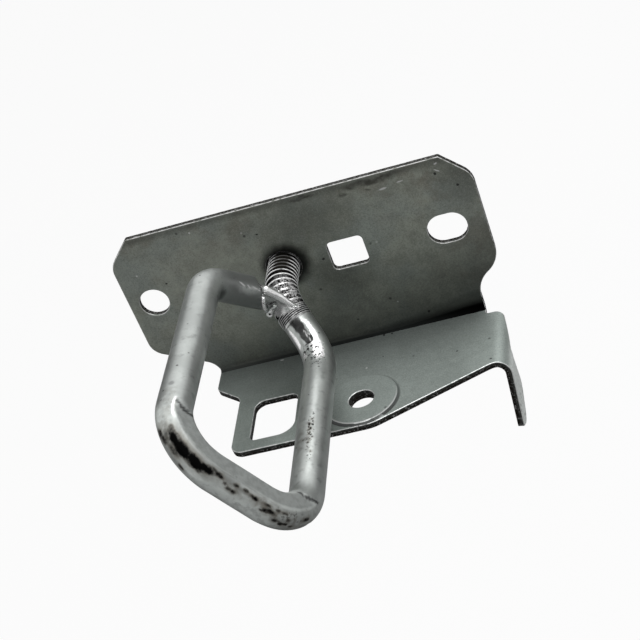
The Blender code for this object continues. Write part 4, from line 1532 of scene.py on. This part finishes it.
def sheet_material():
    """Plated sheet: mottled olive plate, cooler brushed flange, stains, torn edges; painted shade in and
    along the fold, round the shank and on the cut walls, painted highlights on the rims, and a lip painted
    lighter as painted light.
    """
    material, shader = new_material("sheet_steel")
    places = object_places()
    flat = attribute("flat", "Vector")
    along, up, side = parts(flat)
    front = ramp(side, 0.0, 0.0003)
    on_flange = ramp(up, FLANGE_FOLD_ROW - 0.88 * FLANGE_FOLD_LENGTH, FOLD_END_ROW)
    past_lip = vector("SUBTRACT", flat, (*LIP_START, 0))
    past_lip = vector("DOT_PRODUCT", past_lip, (*LIP_AWAY, 0), "Value")
    # Painted light: the flange lightens towards the lip
    painted_light_near_lip = ramp(past_lip, -0.011, 0.001) * on_flange
    on_lip = ramp(past_lip, 0.45 * LIP_FOLD_LENGTH, LIP_FOLD_LENGTH) * on_flange
    broad = noise_value(places, 75, 3)
    mottle = noise_value(places, 380, 6, 0.6)
    fine = noise_value(places, 1500, 4, 0.6)
    grain = noise_value(places, 3600, 2, 0.5)
    brushed = noise_value(scaled(flat, (0.07, 1, 1)), 1500, 5, 0.65)
    patch = ramp(noise_value(places, 120, 5, 0.62), 0.46, 0.64)
    edge_high = ramp(up, 0.000, 0.016) + ramp(along, 0.026, 0.046)
    wide_edged = warped(flat, 160, 0.0040)
    rough_edged = warped(flat, 420, 0.0016)
    close_edged = warped(flat, 1600, 0.0003)
    plate = painted(
        olive(0.285),
        (ramp(mottle, 0.32, 0.68), olive(0.385)),
        (ramp(broad, 0.42, 0.66) * 0.6, cool(0.32)),
        (ramp(fine, 0.45, 0.75) * 0.35, olive(0.19)),
        (patch * edge_high * 0.45, brownish(0.18)),
        # Painted shade: a darker band just below the plate's top edge
        (ramp(up, 0.0150, 0.0168) * front * 0.6, olive(0.10)),
        (ovals(wide_edged, DARKER_PATCHES, 0.9) * front * 0.68, olive(0.11)),
    )
    flange = painted(
        cool(0.234),
        (ramp(brushed, 0.25, 0.75), cool(0.256)),
        (ramp(mottle, 0.45, 0.70) * 0.4, cool(0.237)),
        (ramp(broad, 0.44, 0.66) * 0.5, cool(0.29)),
    )
    # The lip is painted far lighter than the rest of the sheet: painted light on its side
    lip = painted(
        green(0.92),
        (ramp(fine, 0.40, 0.60), green(0.70)),
        (specks(places, 700, 0.34, 0.25), grey(0.10)),
    )

    # Painted shade: the plate darkens towards the fold and to the right, and the flange darkens beside the
    # fold on its left
    leaning = up - along * 0.17 + 0.0022
    above_fold = ramp(leaning, 0.003, -0.0260) * ramp(on_flange, 1.0, 0.4)
    in_fold = ramp(leaning, -0.0170, -0.0250) * ramp(on_flange, 0.9, 0.2)
    below_fold = ramp(up, -0.0480, -0.0255) * on_flange * ramp(along, 0.080, -0.010)
    soft_fold_shade = above_fold * 0.86 | in_fold * 0.97 | below_fold * 0.52
    to_right = ramp(along, 0.018, 0.042)
    # Painted shade: a dark line inside the fold, darker to the right
    fold_line_shade_start = up + to_right * -0.0018
    fold_line_shade = ramp(fold_line_shade_start, FLANGE_FOLD_ROW + 0.0010, FLANGE_FOLD_ROW - 0.60 * FLANGE_FOLD_LENGTH)
    fold_line_shade = fold_line_shade * ramp(on_flange, 0.98, 0.7) * (ramp(along, -0.030, 0.012) * 0.25 + 0.75)
    fold_shade = soft_fold_shade * spread(broad, 0.75, 1.0) | fold_line_shade
    # Painted shadow round the shank's foot
    shank_shadow = ovals(rough_edged, SHANK_SHADOW, 0.45)
    stains = ovals(rough_edged, TOP_STAINS, 0.7) * ramp(mottle, 0.25, 0.65)
    pits = ovals(close_edged, DARK_DOTS) * front | specks(places, 330, 0.16, 0.08) * 0.7
    motes = specks(object_places((1.03, 0.97, 1.01)), 300, 0.11, 0.05)
    pale = ovals(close_edged, PALE_SCRATCHES) * front | motes * 0.6

    level = vector("MULTIPLY", vector("SUBTRACT", flat, (*PAD_CENTRE, 0)), (1, 1, 0))
    far = vector("LENGTH", level, output="Value")
    on_pad = ramp(far, PAD_TOP, PAD_TOP - PAD_DRAFT) * front
    # Painted shade on the pad's step wall and a painted highlight on its rim, both stronger towards the
    # flange's front
    pad_wall_shade = ramp(far, PAD_TOP, PAD_TOP + 0.3 * PAD_DRAFT)
    pad_wall_shade = pad_wall_shade * ramp(far, PAD_RADIUS + 0.0004, PAD_RADIUS + 0.0001)
    pad_edge_highlight = ramp(far, PAD_TOP - 0.9 * PAD_DRAFT, PAD_TOP - 0.3 * PAD_DRAFT)
    pad_edge_highlight = pad_edge_highlight * ramp(far, PAD_TOP + 0.2 * PAD_DRAFT, PAD_TOP)
    to_front = ramp(parts(level)[1], 0.004, -0.006)

    cut = attribute("cut")
    torn = ramp(cut, 0.6, 0.9)
    torn_grain = noise_value(places, 2400, 3, 0.6)
    # Noise that places painted highlights: breaks in the bright rim and light specks on the cut walls
    painted_highlight = noise_value(places, 1100, 3, 0.6)
    rim = ramp(cut, 0.03, 0.11) * ramp(cut, 0.25, 0.15) * ramp(painted_highlight, 0.30, 0.55)
    colour = painted(
        plate,
        (on_flange, flange),
        # Painted light towards the lip, and on the lip
        (painted_light_near_lip * front * 0.4, cool(0.42)),
        (on_lip * front, lip),
        (ramp(grain, 0.50, 0.72) * 0.35, olive(0.12)),
        (ramp(grain, 0.50, 0.28) * 0.12, olive(0.70)),
        # Painted shade in and along the fold
        (fold_shade * front, cool(0.024)),
        # Painted shade: the dark line inside the fold
        (fold_line_shade * front, mixed(to_right, cool(0.017), grey(0.0015))),
        (ovals(wide_edged, PALE_PATCHES, 0.9) * front * 0.10, olive(0.60)),
        # Painted shadow round the shank's foot
        (shank_shadow * front * 0.95, grey(0.008)),
        (stains * front * 0.85, brownish(0.03)),
        (pits * 0.9, grey(0.015)),
        (pale * 0.8, grey(0.75)),
        (on_pad * 0.13, cool(0.40)),
        # Painted highlight on the pad's rim and painted shade on its step wall
        (pad_edge_highlight * to_front * front * 0.75, grey(0.62)),
        (pad_wall_shade * front * (to_front * 0.6 + 0.3), grey(0.025)),
        # Painted highlight along the rolled rim of the cut edges
        (rim, grey(0.62)),
        # Cut walls painted dark as their shade, with light specks painted as glints on the burnished band
        (ramp(cut, 0.17, 0.30), mixed(ramp(painted_highlight, 0.52, 0.70), olive(0.022), grey(0.26))),
        (torn, mixed(ramp(torn_grain, 0.52, 0.72), brownish(0.016), grey(0.36))),
    )
    relief = brushed * on_flange * 0.12 + mottle - pits + torn_grain * torn * 6.0
    set_inputs(shader, {
        "Base Color": colour,
        "Roughness": spread(mottle, 0.38, 0.56) + (torn + fold_shade) * 0.2,
        "Normal": bumped(relief, 0.35, 0.00006),
        "Metallic": (1.0 - (fold_line_shade | on_lip * 0.8) * front) * 0.6,
        "Specular IOR Level": (1.0 - (fold_shade * front | shank_shadow * front | torn)) * 0.5,
    })
    return material


def bar_material():
    """Dull galvanised bar: soft blotches, dark specks, wear on the crossbar, melted zinc by the weld, painted
    shade and painted highlights.
    """
    material, shader = new_material("zinc_bar")
    places = object_places()
    broad = noise_value(places, 160, 4)
    mottle = noise_value(places, 900, 5, 0.6)
    clouds = noise_value(places, 420, 4, 0.6)
    grains = noise_value(places, 1900, 3, 0.6)
    flecks = ramp(noise_value(places, 2100, 3, 0.6), 0.46, 0.56)
    dots = specks(places, 620, 0.22, 0.12)
    brown = attribute("brown") * ramp(noise_value(places, 800, 4), 0.38, 0.62)
    bright = ramp(attribute("bright") + mottle * 0.5, 0.45, 0.85)
    dark = ramp(attribute("dark_flat") + mottle * 0.25, 0.22, 0.62)
    holes = ramp(grains, 0.56, 0.61) | specks(places, 1000, 0.42, 0.6)
    pits = ramp(attribute("pitted") * holes, 0.10, 0.4)
    worn = attribute("smear")
    smear = ramp(worn + (grains - 0.5) * 0.55, 0.17, 0.84)
    groove_shade = ramp(attribute("root"), 0.03, 0.22)
    threaded = attribute("threaded")
    # Painted shade on the thread next to the plate and on the jog
    thread_shade = ramp(attribute("thread_shade") + mottle * 0.4, 0.30, 0.90) * threaded
    colour = painted(
        green(0.39),
        (ramp(broad, 0.35, 0.68), green(0.48)),
        (ramp(mottle, 0.5, 0.72) * 0.3, green(0.33)),
        (ramp(clouds, 0.54, 0.70) * 0.6, green(0.25)),
        (specks(places, 300, 0.26, 0.22) * 0.5, grey(0.10)),
        (dots * 0.8, grey(0.05)),
        (attribute("facet") * 0.8, mixed(ramp(mottle, 0.35, 0.65), green(0.24), green(0.31))),
        # Painted shade
        (attribute("dimming_shade"), green(0.19)),
        # Painted highlights
        (attribute("painted_highlight") * ramp(clouds, 0.30, 0.52) * 0.85, green(0.80)),
        (brown * 0.75, brownish(0.13)),
        (bright, grey(0.90)),
        (dark, mixed(ramp(clouds, 0.35, 0.65), grey(0.03), green(0.07))),
        # Painted highlights along ridges, and bright scratches
        (attribute("ridge") * 0.8, grey(0.80)),
        (pits * 0.95, grey(0.012)),
        # Painted shade in the creases
        (attribute("crease") * 0.9, grey(0.02)),
        (attribute("haze") * ramp(clouds, 0.30, 0.60) * 0.45, brownish(0.14)),
        (attribute("shaded"), green(0.05)),
        (ramp(worn, 0.02, 0.5) * 0.6, brownish(0.11)),
        (smear, grey(0.004)),
        # The thread painted near white, as a painted highlight on its crests
        (threaded * 0.9, grey(0.95)),
        # Painted shade in the thread's roots
        (groove_shade, grey(0.010)),
        (attribute("messy") * threaded * 0.7, mixed(flecks, grey(0.015), grey(0.70))),
        # Painted shade on the thread
        (thread_shade * 0.9, brownish(0.02)),
    )
    rough = spread(mottle, 0.33, 0.45) - (bright + dark) * 0.12 - threaded * 0.08
    relief = mottle - (pits + dots) * 0.9 + clouds * 1.2
    open_share = 1.0 - (groove_shade | thread_shade | smear)
    set_inputs(shader, {
        "Base Color": colour,
        "Roughness": rough + (smear | groove_shade | attribute("pressed")) * 0.2,
        "Normal": bumped(relief, 0.30, 0.00008),
        "Metallic": (0.84 - attribute("upper") * 0.74) * open_share,
        "Specular IOR Level": open_share * 0.5,
    })
    return material


def weld_material():
    """Smooth melted metal with a few dull patches, dark oxide specks, a painted highlight on its proud ridge
    and lip, and black pores painted as their shade.
    """
    material, shader = new_material("weld_metal")
    places = object_places()
    flow = noise_value(places, 420, 4, 0.55, 0.6)
    grain = noise_value(places, 1800, 4, 0.6)
    colour = painted(
        green(0.34),
        (ramp(flow, 0.36, 0.64), grey(0.50)),
        # Painted highlight: the proud ridge and lip painted near white
        (attribute("proud"), grey(0.97)),
        (ramp(grain, 0.64, 0.72) * 0.8, grey(0.05)),
        # Painted shade: pores painted black
        (attribute("pore"), grey(0.006)),
    )
    set_inputs(shader, {
        "Base Color": colour,
        "Roughness": spread(flow, 0.20, 0.34),
        "Normal": bumped(flow + grain * 0.4, 0.3, 0.0001),
        "Metallic": 0.9,
    })
    return material


def fastener_material(name, light, dark, low_rough, high_rough):
    """Plated fastener: fine turning marks round the shank, blotches and small dark specks."""
    material, shader = new_material(name)
    places = object_places()
    blotches = noise_value(places, 300, 5, 0.6)
    turned = noise_value(object_places((0.2, 1, 0.2)), 3000, 3, 0.6)
    colour = painted(
        green(dark),
        (ramp(blotches, 0.36, 0.66), green(light)),
        (ramp(turned, 0.5, 0.75) * 0.25, grey(light * 1.3)),
        (specks(places, 600, 0.22, 0.12) * 0.6, grey(dark * 0.3)),
    )
    set_inputs(shader, {
        "Base Color": colour,
        "Roughness": spread(blotches, low_rough, high_rough),
        "Normal": bumped(turned + blotches, 0.25, 0.00005),
        "Metallic": 0.9,
    })
    return material


def place_piece(made, body, slot, *nodes):
    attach(made, body)
    if nodes:
        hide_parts(*nodes)


def add_pieces():
    weld = weld_material()
    nut = fastener_material("zinc_nut", 0.40, 0.30, 0.30, 0.46)
    spring = fastener_material("spring_steel", 0.10, 0.06, 0.34, 0.5)
    weld_nut = nut_mesh("hex_weld_nut", WELD_NUT_FLATS, WELD_NUT_HEIGHT, WELD_NUT_SEAT)
    lock_nut = nut_mesh("hex_lock_nut", LOCK_NUT_FLATS, LOCK_NUT_HEIGHT, LOCK_NUT_SEAT)
    place_piece(link_object("plate_sheet", plate_mesh(), sheet_material()),
                "plate", "zinc_sheet", "mounting_plate")
    place_piece(link_object("striker_bar", bar_mesh(), bar_material()), "striker", "zinc_bar", "striker_rod")
    place_piece(link_object("weld_bead", weld_mesh(), weld), "striker", "weld_metal", "closing_weld")
    place_piece(link_object("weld_spatter", spatter_mesh(), weld), "striker", "weld_metal")
    place_piece(link_object("hex_weld_nut", weld_nut, nut), "plate", "zinc_nut", "weld_nut")
    place_piece(link_object("nut_welds", nut_weld_mesh(), weld), "plate", "weld_metal")
    place_piece(link_object("spring_washer", washer_mesh(), spring), "washer", "spring_steel", "lock_washer")
    place_piece(link_object("hex_lock_nut", lock_nut, nut), "striker", "zinc_nut", "lock_nut")


def add_camera():
    data = bpy.data.cameras.new("camera")
    data.sensor_width = SENSOR_MM
    data.lens = LENS_MM
    data.clip_start = CLIP_START
    camera = linked("camera", data)
    turn = Matrix((VIEW_RIGHT, VIEW_UP, -Vector(VIEW_FORWARD))).transposed().to_4x4()
    camera.matrix_world = Matrix.Translation(EYE) @ turn
    bpy.context.scene.camera = camera


# Floor, its share of white where it shows as background, the world's light, and what the lamp and cards face
FLOOR_HEIGHT = -0.2
FLOOR_SIZE = 12
FLOOR_WHITE_SHARE = 0.94
WORLD_LIGHT = 0.18
MIDDLE = (0.0, -0.03, -0.015)

# Lamp: name, place, what it faces, width and power
LAMP = ("top_softbox", (0.25, 0.05, 0.80), MIDDLE, 0.6, 8.0)

# Cards that the metal reflects: name, place, what they face, width, height and shade
FLAGS = (
    ("floor_flag", (0.0, 0.0, -0.19), (0.0, 0.0, 0.0), 1.8, 1.8, 0.35),
    ("back_flag", (0.0, 0.75, -0.02), MIDDLE, 1.5, 0.36, 0.03),
    ("left_flag", (-0.55, 0.50, 0.16), MIDDLE, 0.5, 0.5, 0.10),
    ("right_flag", (0.36, 0.42, -0.02), MIDDLE, 0.60, 0.40, 0.02),
)


def background_share():
    """1 for rays that show the background: from the camera, a reflection or through glass."""
    light = node("LightPath")
    kinds = ("Is Camera Ray", "Is Transmission Ray", "Is Glossy Ray")
    camera, glass, glossy = (Value(light.outputs[kind]) for kind in kinds)
    return camera | glass | glossy


def aim(made, place, target):
    made.location = place
    made.rotation_euler = (Vector(target) - Vector(place)).to_track_quat("-Z", "Y").to_euler()


def card_mesh(name, width, height):
    bm = bmesh.new()
    bmesh.ops.create_grid(bm, x_segments=1, y_segments=1, size=0.5)
    bmesh.ops.scale(bm, vec=(width, height, 1), verts=bm.verts)
    return taken(name, bm)


def add_floor():
    """A white floor that shows as background and throws some light back."""
    mesh = card_mesh("floor", FLOOR_SIZE, FLOOR_SIZE)
    floor = linked("floor", mesh)
    floor.location = (0, 0, FLOOR_HEIGHT)
    material, shader = new_material("floor_white")
    set_inputs(shader, {"Base Color": grey(0.6), "Roughness": 0.9})
    white = value("Emission", 0, {"Strength": 1.0})
    share = background_share() * FLOOR_WHITE_SHARE
    both = value("MixShader", 0, {0: share, 1: Value(shader.outputs[0]), 2: white})
    set_inputs(Value.tree.nodes["Material Output"], {"Surface": both})
    mesh.materials.append(material)


def add_world():
    world = bpy.data.worlds.new("studio")
    bpy.context.scene.world = world
    world.use_nodes = True
    Value.tree = world.node_tree
    strength = spread(background_share(), WORLD_LIGHT, 1.0)
    set_inputs(Value.tree.nodes["Background"], {"Strength": strength, "Color": grey(1)})


def add_lamp(name, place, target, size, power):
    data = bpy.data.lights.new(name, "AREA")
    data.shape = "DISK"
    data.size = size
    data.energy = power
    aim(linked(name, data), place, target)


def add_flag(name, place, target, width, height, shade):
    """A plain card beside the object that its metal reflects. The camera doesn't see it."""
    mesh = card_mesh(name, width, height)
    card = linked(name, mesh)
    aim(card, place, target)
    card.visible_camera = False
    card.visible_diffuse = False
    card.visible_shadow = False
    material, shader = new_material(name)
    set_inputs(shader, {"Base Color": grey(shade), "Roughness": 0.9, "Specular IOR Level": 0.0})
    mesh.materials.append(material)


def add_studio():
    add_floor()
    add_world()
    add_lamp(*LAMP)
    for flag in FLAGS:
        add_flag(*flag)
    bpy.context.scene.view_settings.view_transform = "Standard"


add_camera()
add_pieces()
add_studio()
